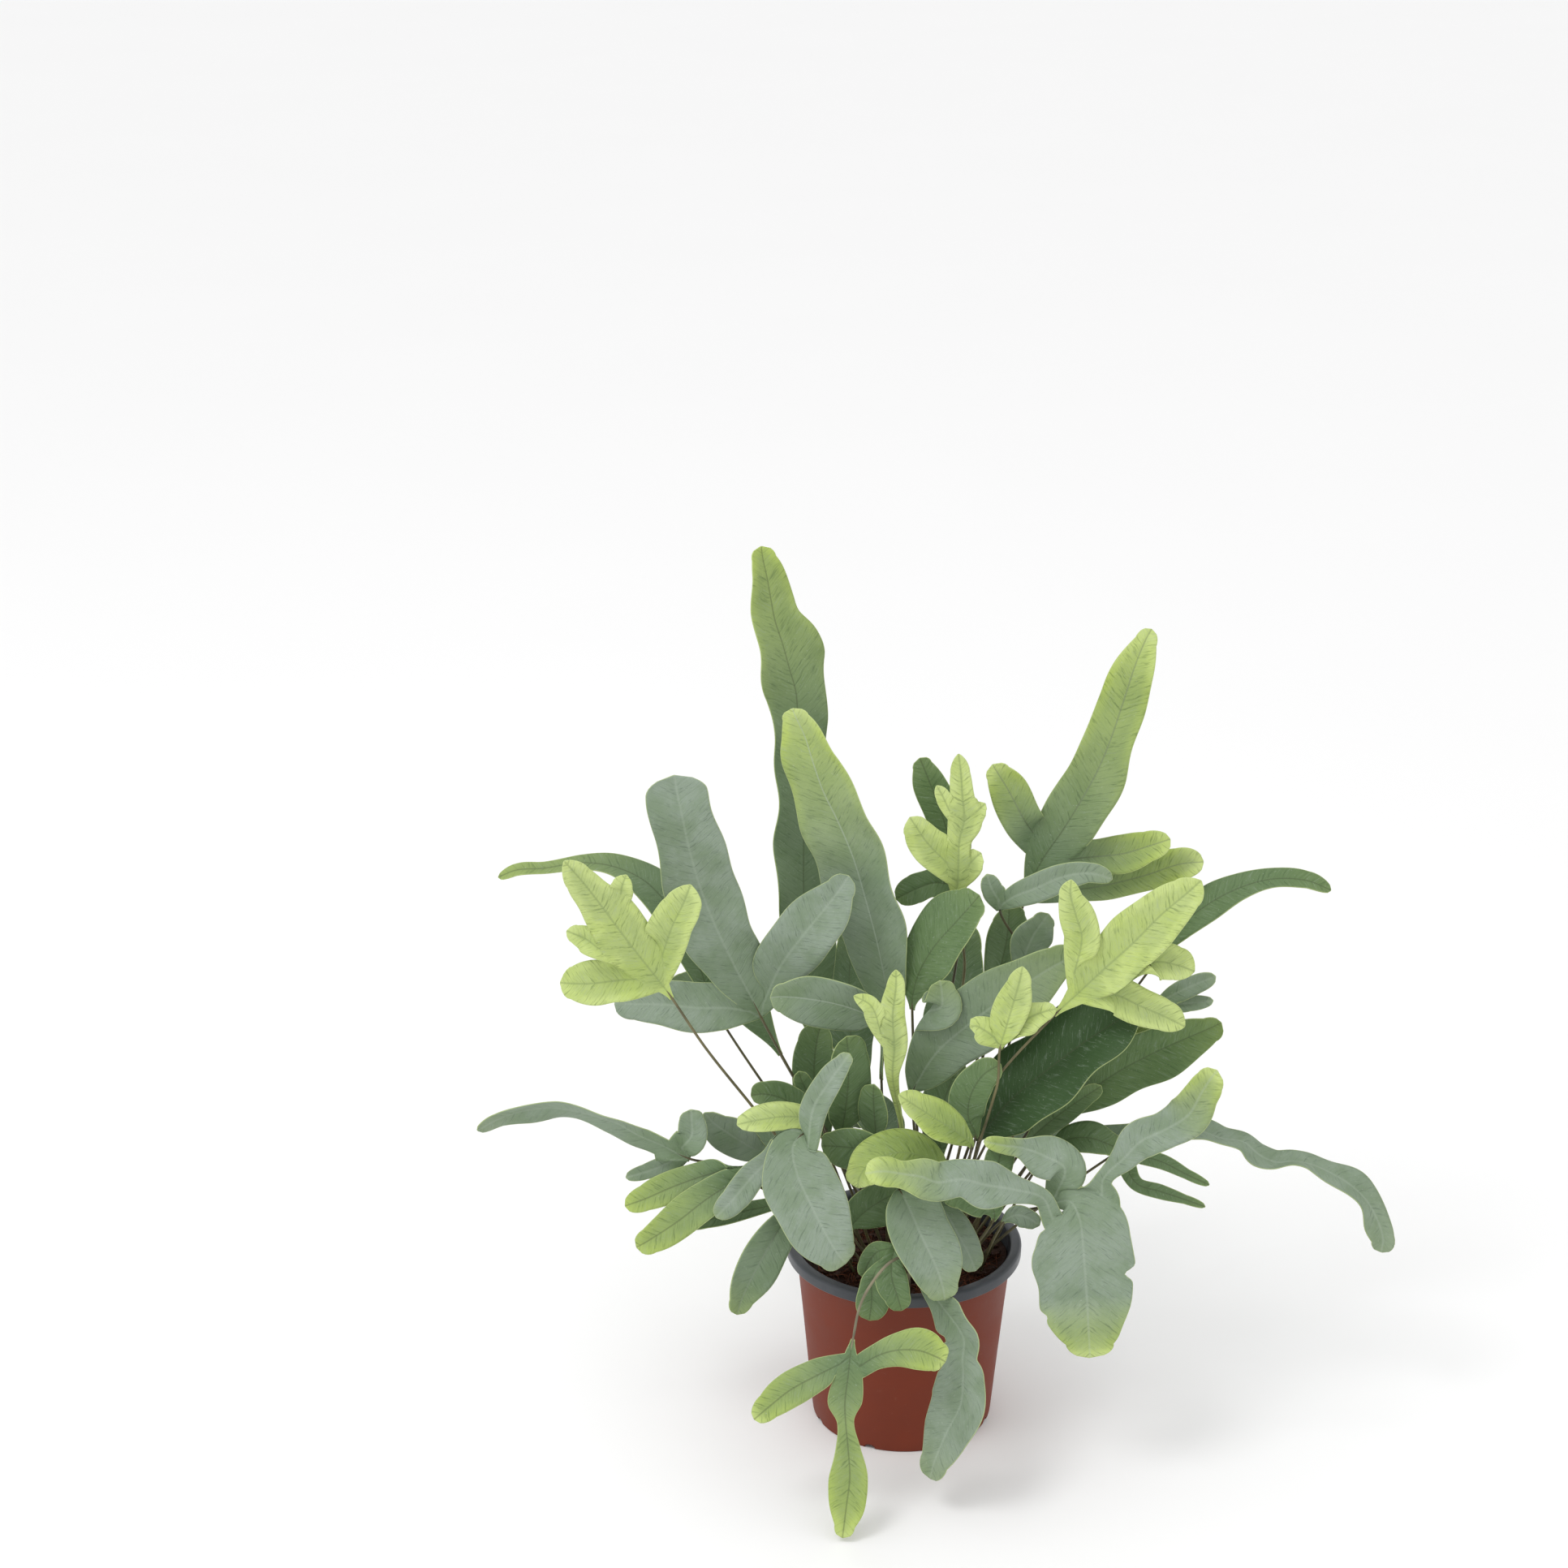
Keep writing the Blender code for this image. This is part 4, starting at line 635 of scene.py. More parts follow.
def grow_blade(name, material):
    """The fine blade of one frond with its lobes, thickened to both sides."""
    fronds = settings("fern_fronds")
    pitch, spacing = fronds.pitch / MM, fronds.vein_spacing / MM
    colour, _, wave, *_ = FRONDS[name]
    controls, blade, lobes = frond_controls(name)
    counts = [1] * blade + stretch_counts(controls[blade:], pitch)
    tip_power = YOUNG_TIP if colour == LIME else OLD_TIP
    rows, starts = smooth_rows(controls, counts, tip_power)
    rows, starts = rows[blade:], [s - starts[blade] for s in starts]
    frames = row_frames(rows)
    lead = sum(gaps_of(controls[:blade + 1]))
    cells = max(6, 2 * round(rows[:, 3].max() / pitch * 0.8))
    share = frames[2] / frames[2][-1]
    sheet = Sheet(wave, spacing, BITES.get(name, ()))
    made, grid = sheet.strip(rows, frames, cells, lead, share)
    sheet.ribs.append(grid[:, cells // 2])
    for side, index, points in lobes:
        low = max(starts[index], 0)
        stretch = made[low:starts[index + 1] + 1]
        grow_lobe(sheet, stretch, side, points, pitch, share[low], tip_power)
    return finish_blade(name, sheet, material, colour)


def finish_blade(name, sheet, material, colour):
    """The sheet as a piece with its vein map, the values its material reads, and a thickness
    that falls off towards the margin."""
    fronds = settings("fern_fronds")
    points, faces, veins, tipness = (
        np.concatenate(part) for part in (sheet.points, sheet.faces, sheet.veins, sheet.tipness))
    margin = nearest(points, points[margin_points(faces)])
    rib = nearest(points, np.concatenate(sheet.ribs))
    piece = new_piece("frond_" + name + "_blade", points, faces.tolist(), material)
    mesh = piece.data
    layer = mesh.uv_layers.new(name="veins")
    layer.data.foreach_set("uv", (veins.reshape(-1, 2) / PER_UV).astype(np.float32).ravel())
    tip, tip_start, wax = TIPS.get(name, PLAIN_TIPS[colour])
    lime = tip * np.clip((tipness - tip_start) / max(1 - tip_start, 0.01), 0, 1)
    if colour == LIME:
        lime = tip_start + (tip - tip_start) * tipness
    back = np.clip((points[:, 1] - SHADE_FRONT) / SHADE_DEPTH, 0, 1)
    low = np.clip((SHADE_TOP - points[:, 2]) / SHADE_FALL, 0, 1)
    set_floats(mesh, "margin", margin)
    set_floats(mesh, "rib", rib)
    set_floats(mesh, "lime", lime)
    # Less wax towards each blade's foot, so the foot shows darker green: partly its own colour and partly
    # painted shade at the blade's base
    set_floats(mesh, "wax", max(wax, 0) * (0.4 + 0.6 * np.clip(tipness / 0.4, 0, 1)))
    # Painted shade: blades further back and lower in the plant are painted darker, and a wax value below 0
    # darkens the whole frond more, partly its own deeper green and partly painted shade
    set_floats(mesh, "shade", (back + low) / 2 + max(-wax, 0))
    mesh.shade_smooth()
    group = piece.vertex_groups.new(name="thickness")
    thin = fronds.edge_thickness / fronds.blade_thickness
    weights = np.round(thin + (1 - thin) * np.clip(margin / 4, 0, 1), 1)
    for weight in np.unique(weights):
        group.add(np.nonzero(weights == weight)[0].tolist(), float(weight), "REPLACE")
    solid = piece.modifiers.new("Solidify", "SOLIDIFY")
    solid.thickness = fronds.blade_thickness
    solid.offset = 0
    solid.vertex_group = group.name
    return piece


def tube_faces(rings, sides):
    """The faces of a closed tube whose points run ring after ring."""
    faces = []
    for start in range(0, (rings - 1) * sides, sides):
        for k in range(sides):
            n = (k + 1) % sides
            faces.append((start + k, start + n, start + sides + n, start + sides + k))
    faces.append(tuple(reversed(range(sides))))
    faces.append(tuple(range((rings - 1) * sides, rings * sides)))
    return faces


def tube(name, places, radii, material, sides=8):
    """A closed tube along places with a radius at each."""
    places = np.asarray(places, float)
    along = unit(np.gradient(places, axis=0))
    helper = np.where(np.abs(along[:, 2:3]) > 0.9, [[1.0, 0, 0]], [[0, 0, 1.0]])
    right = unit(np.cross(along, helper))
    up = np.cross(right, along)
    angle = np.linspace(0, 2 * math.pi, sides, endpoint=False)
    ring = right[:, None] * np.cos(angle)[None, :, None] + up[:, None] * np.sin(angle)[None, :, None]
    points = (places[:, None] + ring * np.asarray(radii)[:, None, None]).reshape(-1, 3)
    piece = new_piece(name, points, tube_faces(len(places), sides), material)
    piece.data.shade_smooth()
    return piece


def grow_stipe(name, material):
    """The wiry stalk from the soil, which runs on as the rib under the blade."""
    controls, blade, _ = frond_controls(name)
    rows, starts = smooth_rows(controls, [max(3, round(gap / 3)) for gap in gaps_of(controls)])
    frames = row_frames(rows)
    run = frames[2] / frames[2][-1]
    blade_share = run[starts[blade]]
    on_blade = np.clip((run - blade_share) / (1 - blade_share), 0, 1)
    to_blade = np.clip(run / max(blade_share, 0.01), 0, 1)
    radii = (STIPE_RADIUS - STIPE_TAPER * to_blade) * (1 - on_blade) ** 0.8
    keep = on_blade < STIPE_END
    under = np.minimum(on_blade * 8, 1) * (STIPE_UNDER + radii)
    places = rows[:, :3] - frames[1] * under[:, None]
    return tube("frond_" + name + "_stipe", places[keep], np.maximum(radii[keep], STIPE_THINNEST), material)


class Nodes:
    """Makes a material's nodes with few words."""

    def __init__(self, name):
        self.material = bpy.data.materials.new(name)
        self.material.use_nodes = True
        self.tree = self.material.node_tree
        self.shader = self.tree.nodes["Principled BSDF"]

    def put(self, socket, value):
        """Joins a node's output to a socket, or sets a number or a colour on it."""
        if isinstance(value, bpy.types.NodeSocket):
            self.tree.links.new(value, socket)
        else:
            socket.default_value = value if isinstance(value, (int, float)) else (*value, 1.0)

    def attribute(self, name):
        node = self.tree.nodes.new("ShaderNodeAttribute")
        node.attribute_name = name
        return node.outputs["Fac"]

    def math(self, kind, a, b=0.0, clamp=False):
        node = self.tree.nodes.new("ShaderNodeMath")
        node.operation = kind
        node.use_clamp = clamp
        self.put(node.inputs[0], a)
        self.put(node.inputs[1], b)
        return node.outputs[0]

    def times(self, a, b, clamp=False):
        return self.math("MULTIPLY", a, b, clamp)

    def ramp(self, value, low, high, to_low=0.0, to_high=1.0):
        node = self.tree.nodes.new("ShaderNodeMapRange")
        node.interpolation_type = "SMOOTHSTEP"
        for socket, number in zip(node.inputs, (value, low, high, to_low, to_high)):
            self.put(socket, number)
        return node.outputs[0]

    def noise(self, scale, detail=3.0, rough=0.5, place=None):
        node = self.tree.nodes.new("ShaderNodeTexNoise")
        node.inputs["Scale"].default_value = scale
        node.inputs["Detail"].default_value = detail
        node.inputs["Roughness"].default_value = rough
        place = place or self.tree.nodes.new("ShaderNodeTexCoord").outputs["Object"]
        self.put(node.inputs["Vector"], place)
        return node.outputs["Fac"]

    def mix(self, share, one, two):
        node = self.tree.nodes.new("ShaderNodeMix")
        node.data_type = "RGBA"
        for socket, value in ((0, share), (6, one), (7, two)):
            self.put(node.inputs[socket], value)
        return node.outputs[2]

    def bump(self, height, strength, distance):
        node = self.tree.nodes.new("ShaderNodeBump")
        node.inputs["Strength"].default_value = strength
        node.inputs["Distance"].default_value = distance
        self.put(node.inputs["Height"], height)
        self.put(self.shader.inputs["Normal"], node.outputs["Normal"])

    def finish(self, colour, rough, specular):
        self.put(self.shader.inputs["Base Color"], colour)
        self.put(self.shader.inputs["Roughness"], rough)
        self.shader.inputs["Specular IOR Level"].default_value = specular
        return self.material


def vein_place(nodes):
    """Where a point lies along and across its blade in millimetres, the along value slanted so
    that it stays the same along a side vein."""
    veins = nodes.tree.nodes.new("ShaderNodeUVMap")
    veins.uv_map = "veins"
    split = nodes.tree.nodes.new("ShaderNodeSeparateXYZ")
    nodes.put(split.inputs[0], veins.outputs[0])
    along = nodes.times(split.outputs[0], PER_UV)
    across = nodes.math("ABSOLUTE", nodes.times(split.outputs[1], PER_UV))
    wander = nodes.times(nodes.noise(150.0, 2.0), 2.4)
    slanted = nodes.math("SUBTRACT", along, nodes.times(across, VEIN_SLANT))
    return nodes.math("ADD", slanted, wander), across


def side_veins(nodes, spacing):
    """0 to 1 along the slanted side veins, and a fine streaky grain between them."""
    slanted, across = vein_place(nodes)
    turn = nodes.math("FRACT", nodes.math("DIVIDE", slanted, spacing))
    peak = nodes.math("ABSOLUTE", nodes.math("SUBTRACT", turn, 0.5))
    main = nodes.ramp(peak, 0.0, 0.14, 1.0, 0.0)
    join = nodes.tree.nodes.new("ShaderNodeCombineXYZ")
    nodes.put(join.inputs[0], nodes.times(slanted, 0.85))
    nodes.put(join.inputs[1], nodes.times(across, 0.13))
    return main, nodes.noise(1.0, 4.0, 0.65, join.outputs[0])


def leaf_material(name, rib_tone, rib_share, rib_width):
    """A leathery blade: green under a patchy grey wax, lime towards its tip, with a thin pale
    margin, a rib and slanted side veins. rib_tone is the rib's colour, rib_share how much of it
    shows, and rib_width its width in mm."""
    fronds = settings("fern_fronds")
    nodes = Nodes(name)
    lime, wax = nodes.attribute("lime"), nodes.attribute("wax")
    rib, margin, shade = nodes.attribute("rib"), nodes.attribute("margin"), nodes.attribute("shade")
    patches = nodes.noise(55.0, 5.0, 0.6)
    speckle = nodes.noise(850.0, 2.0, 0.6)
    main, streaks = side_veins(nodes, fronds.vein_spacing / MM)
    # Painted shade: the green turns towards deep green where the shade value is high
    green = nodes.mix(nodes.ramp(shade, 0.15, 0.9), fronds.leaf_green, fronds.deep_green)
    waxed = nodes.times(wax, nodes.ramp(patches, 0.34, 0.62, 0.6, 1.0))
    waxed = nodes.times(waxed, nodes.ramp(streaks, 0.3, 0.7, 0.7, 1.15), clamp=True)
    base = nodes.mix(waxed, green, fronds.wax_grey)
    limed = nodes.times(lime, nodes.ramp(patches, 0.25, 0.7, 0.8, 1.1))
    limed = nodes.times(limed, nodes.ramp(margin, 0.5, 6.0, 1.25, 0.85), clamp=True)
    young = nodes.mix(nodes.ramp(lime, 0.7, 1.0, 0.0, 0.75), fronds.lime, fronds.pale_lime)
    young = nodes.mix(nodes.ramp(patches, 0.4, 0.7, 0.0, 0.55), young, fronds.lime)
    base = nodes.mix(limed, base, young)
    inside = nodes.ramp(margin, 0.6, 2.5)
    veined = nodes.times(nodes.times(main, 0.05), inside)
    base = nodes.mix(veined, base, fronds.deep_green)
    base = nodes.mix(nodes.ramp(streaks, 0.5, 0.7, 0.0, 0.5), base, fronds.deep_green)
    base = nodes.mix(nodes.ramp(streaks, 0.47, 0.3, 0.0, 0.3), base, fronds.wax_grey)
    base = nodes.mix(nodes.ramp(speckle, 0.64, 0.74, 0.0, 0.2), base, (0.50, 0.56, 0.48))
    tone = nodes.mix(nodes.ramp(wax, 0.35, 0.65), rib_tone, WAXED_RIB)
    base = nodes.mix(nodes.ramp(rib, 0.1, rib_width, rib_share, 0.0), base, tone)
    base = nodes.mix(nodes.ramp(margin, 0.1, 0.4, 0.45, 0.0), base, fronds.pale_lime)
    rough = nodes.ramp(patches, 0.3, 0.7, 0.48, 0.66)
    height = nodes.math("SUBTRACT", nodes.times(speckle, 0.3), nodes.times(main, 0.5))
    height = nodes.math("ADD", height, nodes.times(streaks, 0.8))
    nodes.bump(height, 0.45, 0.0003)
    return nodes.finish(base, rough, 0.3)


def stipe_material(name, colour):
    """A wiry stalk, darker in patches."""
    nodes = Nodes(name)
    tone = nodes.noise(60.0, 3.0)
    darker = tuple(channel * 0.45 for channel in colour)
    base = nodes.mix(nodes.ramp(tone, 0.3, 0.7), darker, colour)
    nodes.bump(nodes.noise(1500.0), 0.2, 0.0002)
    return nodes.finish(base, nodes.ramp(tone, 0.3, 0.7, 0.4, 0.55), 0.4)


def pot_material():
    """Thin formed plastic: a terracotta red wall with a little dust, a dark grey lip and inside."""
    pot = settings("fern_pot")
    nodes = Nodes("pot_plastic")
    lip = nodes.attribute("lip")
    cloud = nodes.noise(35.0, 4.0, 0.6)
    wall = nodes.mix(nodes.ramp(cloud, 0.3, 0.75, 0.0, 0.5), pot.wall_colour,
                     tuple(channel * 1.3 for channel in pot.wall_colour))
    dust = nodes.ramp(nodes.noise(260.0, 5.0, 0.7), 0.6, 0.8, 0.0, 0.25)
    wall = nodes.mix(dust, wall, (0.28, 0.12, 0.08))
    rim = nodes.mix(nodes.ramp(cloud, 0.3, 0.75, 0.0, 0.4), pot.lip_colour, (0.12, 0.125, 0.13))
    base = nodes.mix(lip, wall, rim)
    nodes.bump(nodes.noise(1400.0, 2.0, 0.6), 0.12, 0.0002)
    rough = nodes.math("SUBTRACT", nodes.ramp(cloud, 0.3, 0.7, 0.5, 0.62), nodes.times(lip, 0.22))
    return nodes.finish(base, rough, 0.25)


def soil_material(name, colour):
    """Damp crumbs of one colour, with the dark of the soil between them."""
    soil = settings("fern_soil")
    nodes = Nodes(name)
    cloud = nodes.noise(70.0, 5.0, 0.7)
    crumb = nodes.noise(900.0, 4.0, 0.7)
    base = nodes.mix(nodes.ramp(cloud, 0.35, 0.7), soil.dark, colour)
    base = nodes.mix(nodes.ramp(crumb, 0.55, 0.75, 0.0, 0.6), base, (0.13, 0.045, 0.020))
    nodes.bump(crumb, 0.8, 0.0012)
    return nodes.finish(base, nodes.ramp(crumb, 0.3, 0.7, 0.75, 0.98), 0.25)


def dress(piece, node):
    """Makes a piece ride with the part and stand for its solid, which it hides."""
    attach(piece, "root")
    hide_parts(node)
    return piece


def grow_fronds(colour, material, stipe, pale_stipe=None):
    """Grows every frond of one colour, blade and stalk."""
    for name in [name for name, row in FRONDS.items() if row[0] == colour]:
        dress(grow_blade(name, material), "frond_" + name)
        stalk = pale_stipe if pale_stipe and name in PALE_STALKS else stipe
        dress(grow_stipe(name, stalk), "frond_" + name)


class FERN_OT_green_fronds(bpy.types.Operator):
    """Grow the green fronds"""

    bl_idname = "fern.green_fronds"
    bl_label = "Green fronds"

    def execute(self, context):
        stipe = stipe_material("stipe_green", settings("fern_fronds").stipe)
        leaf = leaf_material("leaf_green", (0.06, 0.075, 0.035), 0.45, 0.7)
        grow_fronds(GREEN, leaf, stipe, stipe_material("stipe_pale", (0.30, 0.27, 0.17)))
        return {"FINISHED"}


class FERN_OT_grey_fronds(bpy.types.Operator):
    """Grow the waxy grey fronds"""

    bl_idname = "fern.grey_fronds"
    bl_label = "Grey fronds"

    def execute(self, context):
        stipe = stipe_material("stipe_grey", settings("fern_fronds").stipe)
        grow_fronds(GREY, leaf_material("leaf_grey", WAXED_RIB, 0.26, 1.1), stipe)
        return {"FINISHED"}


class FERN_OT_lime_fronds(bpy.types.Operator):
    """Grow the young lime fronds"""

    bl_idname = "fern.lime_fronds"
    bl_label = "Lime fronds"

    def execute(self, context):
        colour = tuple(channel * 1.5 for channel in settings("fern_fronds").stipe)
        leaf = leaf_material("leaf_lime", (0.22, 0.29, 0.11), 0.5, 0.9)
        grow_fronds(LIME, leaf, stipe_material("stipe_lime", colour))
        return {"FINISHED"}


def wall_radius(height):
    """The outer radius of the pot's tapered wall at a height."""
    share = height / (POT_HEIGHT - LIP_HEIGHT)
    return BASE_RADIUS + (WALL_TOP_RADIUS - BASE_RADIUS) * share


def arc(centre_radius, centre_height, size, start, end, steps=6):
    """Points of a round corner in the pot's profile, between two angles from straight up."""
    angles = np.radians(np.linspace(start, end, steps))
    return [(centre_radius + size * math.sin(a), centre_height + size * math.cos(a)) for a in angles]


def pot_profile():
    """The pot's profile of (radius, height, is it lip or inside)."""
    under = POT_HEIGHT - LIP_HEIGHT
    inner = WALL_TOP_RADIUS - WALL + 0.8
    inside = [(0, WALL), (BASE_RADIUS - WALL - 1, WALL), (BASE_RADIUS - WALL, WALL + 1.5),
              (inner, POT_HEIGHT - LIP_INSIDE)]
    inside += arc(inner + LIP_INSIDE, POT_HEIGHT - LIP_INSIDE, LIP_INSIDE, -90, 0)
    lip = arc(LIP_RADIUS - LIP_ROUND - 0.4, POT_HEIGHT - LIP_ROUND, LIP_ROUND, 10, 90)
    lip += [(LIP_RADIUS - 0.5, under + 2.5)]
    lip += arc(LIP_RADIUS - 1.2, under + LIP_BEND, LIP_BEND, 90, 180)
    lip += [(WALL_TOP_RADIUS + 0.9, under + 0.2)]
    wall = arc(WALL_TOP_RADIUS + 0.9, under - 0.6, 0.8, 0, -60, 4)
    wall += [(wall_radius(height), height) for height in (60, 30, 8, 3)]
    wall += arc(BASE_RADIUS - 1.0, 1.0, 1.0, 90, 180) + [(0, 0)]
    return [(r, h, 1.0) for r, h in inside + lip] + [(r, h, 0.0) for r, h in wall]


def turned_pot():
    """The pot's profile turned about the upright axis, with its notches cut."""
    profile = pot_profile()
    edges = [(i, i + 1) for i in range(len(profile) - 1)]
    piece = new_piece("pot_body", [(r, 0, h) for r, h, _ in profile], [], pot_material(), edges)
    set_floats(piece.data, "lip", [lip for _, _, lip in profile])
    screw = piece.modifiers.new("Screw", "SCREW")
    screw.steps = screw.render_steps = settings("fern_pot").sides
    screw.use_merge_vertices = True
    screw.merge_threshold = 0.00002
    keep_modified(piece)
    notch_pot(piece)
    piece.data.shade_smooth()
    return piece


def notch_pot(piece):
    """Cuts the small drain notches out of the pot's lower edge."""
    cutters = []
    for number in range(NOTCHES):
        angle = 2 * math.pi * (number + 0.5) / NOTCHES
        out = Vector((math.cos(angle), math.sin(angle), 0))
        place = out * (BASE_RADIUS + NOTCH_OUT) * MM + Vector((0, 0, -NOTCH_DROP * MM))
        bpy.ops.mesh.primitive_cylinder_add(vertices=24, radius=NOTCH_RADIUS * MM,
                                            depth=NOTCH_LENGTH * MM, location=place)
        cutter = bpy.context.object
        cutter.rotation_mode = "QUATERNION"
        cutter.rotation_quaternion = Vector((0, 0, 1)).rotation_difference(out)
        cutters.append(cutter)
        cut = piece.modifiers.new("Notch", "BOOLEAN")
        cut.operation, cut.solver, cut.object = "DIFFERENCE", "MANIFOLD", cutter
    bpy.context.view_layer.update()
    keep_modified(piece)
    for cutter in cutters:
        bpy.data.objects.remove(cutter)


class FERN_OT_pot(bpy.types.Operator):
    """Turn the nursery pot with its rolled lip and drain notches"""

    bl_idname = "fern.pot"
    bl_label = "Pot"

    def execute(self, context):
        dress(turned_pot(), "pot")
        return {"FINISHED"}


def soil_height(x, y):
    """Height of the soil's lumpy top over its mean level, in millimetres."""
    lumps = settings("fern_soil").roughness / MM
    coarse = noise.noise(Vector((x / 14, y / 14, 3.1)))
    fine = noise.noise(Vector((x / 4.5, y / 4.5, 8.7)))
    return lumps * (0.5 * coarse + 0.45 * fine)


def soil_body(material):
    """The soil as a closed solid with a lumpy top that fills the pot."""
    rim = wall_radius(SOIL_TOP) - WALL - GAP - 0.1
    foot = BASE_RADIUS - WALL - GAP - 1.0
    round_spots = [(math.cos(turn), math.sin(turn))
                   for turn in np.linspace(0, 2 * math.pi, SOIL_SIDES, endpoint=False)]
    points = [(0, 0, SOIL_TOP + soil_height(0, 0))]
    for ring in range(1, SOIL_RINGS + 1):
        for x, y in [(rim * ring / SOIL_RINGS * a, rim * ring / SOIL_RINGS * b) for a, b in round_spots]:
            points.append((x, y, SOIL_TOP + soil_height(x, y)))
    points += [(foot * a, foot * b, WALL + 1.0) for a, b in round_spots]
    faces = [tuple(reversed(range(len(points) - SOIL_SIDES, len(points))))]
    for k in range(SOIL_SIDES):
        n = (k + 1) % SOIL_SIDES
        faces.append((0, 1 + k, 1 + n))
        faces += [(a + k, a + SOIL_SIDES + k, a + SOIL_SIDES + n, a + n)
                  for a in range(1, 1 + SOIL_RINGS * SOIL_SIDES, SOIL_SIDES)]
    piece = new_piece("soil_body", points, faces, material)
    piece.data.shade_smooth()
    return piece


def one_mesh(name, parts, material):
    """Joins loose (points, faces) parts in one object."""
    points, faces = [], []
    for part_points, part_faces in parts:
        faces += [tuple(len(points) + i for i in face) for face in part_faces]
        points += part_points
    return new_piece(name, points, faces, material)


def spot_on_soil(rng, spread):
    """A chance place on the soil, within a radius."""
    radius = spread * math.sqrt(rng.random())
    angle = rng.uniform(0, 2 * math.pi)
    return radius * math.cos(angle), radius * math.sin(angle)


def fibre(rng, spread):
    """One curly coir fibre that lies on the soil, as a thin three-sided tube."""
    x, y = spot_on_soil(rng, spread)
    heading, length = rng.uniform(0, 2 * math.pi), rng.uniform(5, 17)
    bend, hump, size = rng.uniform(-1.6, 1.6), rng.uniform(0.3, 2.6), rng.uniform(0.10, 0.24)
    steps, centres = 7, []
    for step in range(steps + 1):
        share = step / steps
        height = SOIL_TOP + soil_height(x, y) + 0.1 + hump * math.sin(math.pi * share)
        centres.append(Vector((x, y, height)))
        x += math.cos(heading) * length / steps
        y += math.sin(heading) * length / steps
        heading += bend / steps
        if math.hypot(x, y) > spread + 1:
            heading += 2.2
    points = []
    for step, centre in enumerate(centres):
        along = (centres[min(step + 1, steps)] - centres[max(step - 1, 0)]).normalized()
        right = along.cross(Vector((0, 0, 1))).normalized()
        up = right.cross(along)
        for corner in range(3):
            angle = 2 * math.pi * corner / 3
            points.append(centre + (right * math.cos(angle) + up * math.sin(angle)) * size)
    return points, tube_faces(len(centres), 3)


def chip(rng, spread):
    """One angular chip of bark or peat, half sunk in the soil."""
    x, y = spot_on_soil(rng, spread)
    size = rng.uniform(0.8, 2.6)
    stretch = (rng.uniform(0.7, 1.5), rng.uniform(0.5, 1.0), rng.uniform(0.35, 0.8))
    turn = rng.uniform(0, math.pi)
    middle = SOIL_TOP + soil_height(x, y) + 0.3 * size
    points = []
    for corner in [(i, j, k) for k in (-1, 1) for i, j in ((-1, -1), (1, -1), (1, 1), (-1, 1))]:
        a, b, c = (value * size * part * rng.uniform(0.55, 1.0) for value, part in zip(corner, stretch))
        points.append((x + a * math.cos(turn) - b * math.sin(turn),
                       y + a * math.sin(turn) + b * math.cos(turn), middle + c))
    faces = [(0, 3, 2, 1), (4, 5, 6, 7), (0, 1, 5, 4), (1, 2, 6, 5), (2, 3, 7, 6), (3, 0, 4, 7)]
    return points, faces


class FERN_OT_soil(bpy.types.Operator):
    """Fill the pot with soil, coir fibres and chips"""

    bl_idname = "fern.soil"
    bl_label = "Soil"

    def execute(self, context):
        soil = settings("fern_soil")
        rng = random.Random(7)
        spread = wall_radius(SOIL_TOP) - WALL - 4.5
        dress(soil_body(soil_material("soil_damp", (0.030, 0.013, 0.008))), "soil")
        for name, make, count, colour in (("soil_chip", chip, soil.chips, (0.07, 0.03, 0.017)),
                                          ("soil_fibre", fibre, soil.fibres, soil.fibre)):
            loose = [make(rng, spread) for _ in range(count)]
            dress(one_mesh(name + "s", loose, soil_material(name, colour)), "soil")
        return {"FINISHED"}


def key_light(power):
    """A soft round light up on the left, in front of the plant."""
    light = bpy.data.lights.new("key", "AREA")
    light.shape = "DISK"
    light.size = KEY_SIZE
    light.energy = power
    lamp = bpy.data.objects.new("key", light)
    lamp.location = KEY_PLACE
    lamp.rotation_euler = (KEY_AIM - KEY_PLACE).to_track_quat("-Z", "Y").to_euler()
    bpy.context.scene.collection.objects.link(lamp)


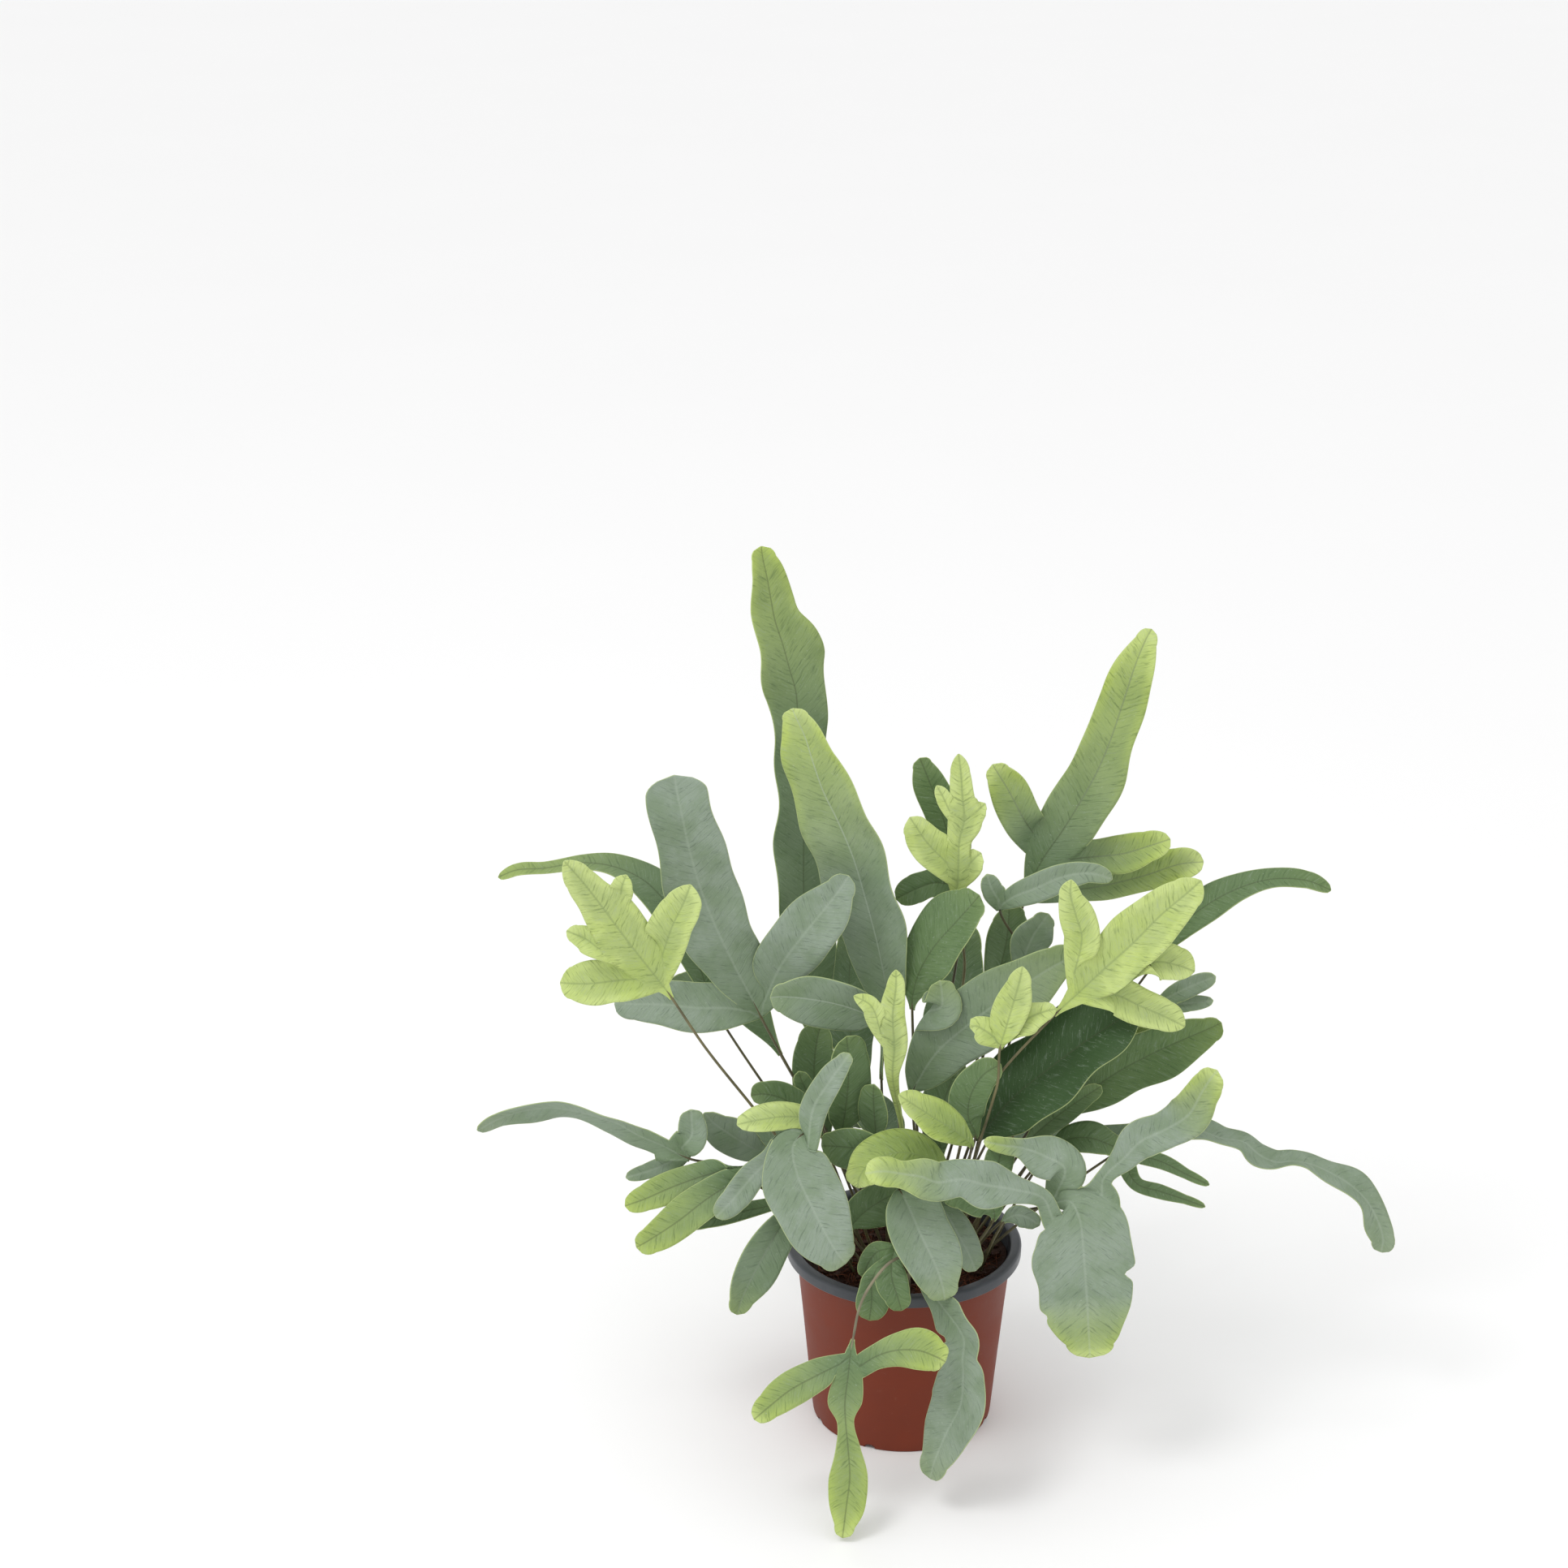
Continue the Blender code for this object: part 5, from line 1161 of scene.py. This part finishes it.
class FERN_OT_stage(bpy.types.Operator):
    """Set the floor, the soft studio light and the camera"""

    bl_idname = "fern.stage"
    bl_label = "Stage"

    def execute(self, context):
        stage = settings("fern_stage")
        bpy.ops.mesh.primitive_plane_add(size=14)
        floor = context.object
        floor.name = "floor"
        nodes = Nodes("floor_paper")
        tone = nodes.mix(nodes.ramp(nodes.noise(3.0), 0.3, 0.7, 0.0, 0.3), stage.floor,
                         tuple(channel * 0.985 for channel in stage.floor))
        floor.data.materials.append(nodes.finish(tone, 0.9, 0.2))
        world = bpy.data.worlds.new("studio")
        world.use_nodes = True
        sky = world.node_tree.nodes["Background"]
        sky.inputs["Color"].default_value = (1, 1, 1, 1)
        sky.inputs["Strength"].default_value = stage.sky
        context.scene.world = world
        context.scene.view_settings.view_transform = "Standard"
        key_light(stage.key)
        camera = bpy.data.cameras.new("camera")
        camera.sensor_width = SENSOR
        camera.lens = FOCAL / PICTURE * SENSOR
        view = bpy.data.objects.new("camera", camera)
        view.location = EYE * MM
        view.rotation_euler = (math.pi / 2 - EYE_PITCH, 0, 0)
        context.scene.collection.objects.link(view)
        context.scene.camera = view
        return {"FINISHED"}


class FERN_PT_panel(bpy.types.Panel):
    """The fern's pieces and their sizes"""

    bl_label = "Blue star fern"
    bl_idname = "FERN_PT_panel"
    bl_space_type = "VIEW_3D"
    bl_region_type = "UI"
    bl_category = "Fern"

    def draw(self, context):
        for operator in OPERATORS:
            self.layout.operator(operator.bl_idname)
        for name, group in GROUPS.items():
            box = self.layout.box()
            for prop in group.__annotations__:
                box.prop(getattr(context.scene, name), prop)


OPERATORS = (FERN_OT_pot, FERN_OT_soil, FERN_OT_green_fronds, FERN_OT_grey_fronds, FERN_OT_lime_fronds,
             FERN_OT_stage)
GROUPS = {"fern_fronds": FernFronds, "fern_pot": FernPot, "fern_soil": FernSoil, "fern_stage": FernStage}


def register():
    for made in (*GROUPS.values(), *OPERATORS, FERN_PT_panel):
        bpy.utils.register_class(made)
    for name, group in GROUPS.items():
        setattr(bpy.types.Scene, name, bpy.props.PointerProperty(type=group))


def unregister():
    for name in GROUPS:
        delattr(bpy.types.Scene, name)
    for made in (FERN_PT_panel, *OPERATORS, *GROUPS.values()):
        bpy.utils.unregister_class(made)


def main():
    register()
    bpy.ops.fern.stage()
    bpy.ops.fern.pot()
    bpy.ops.fern.soil()
    bpy.ops.fern.green_fronds()
    bpy.ops.fern.grey_fronds()
    bpy.ops.fern.lime_fronds()
    bpy.context.view_layer.update()


if __name__ == "__main__":
    main()
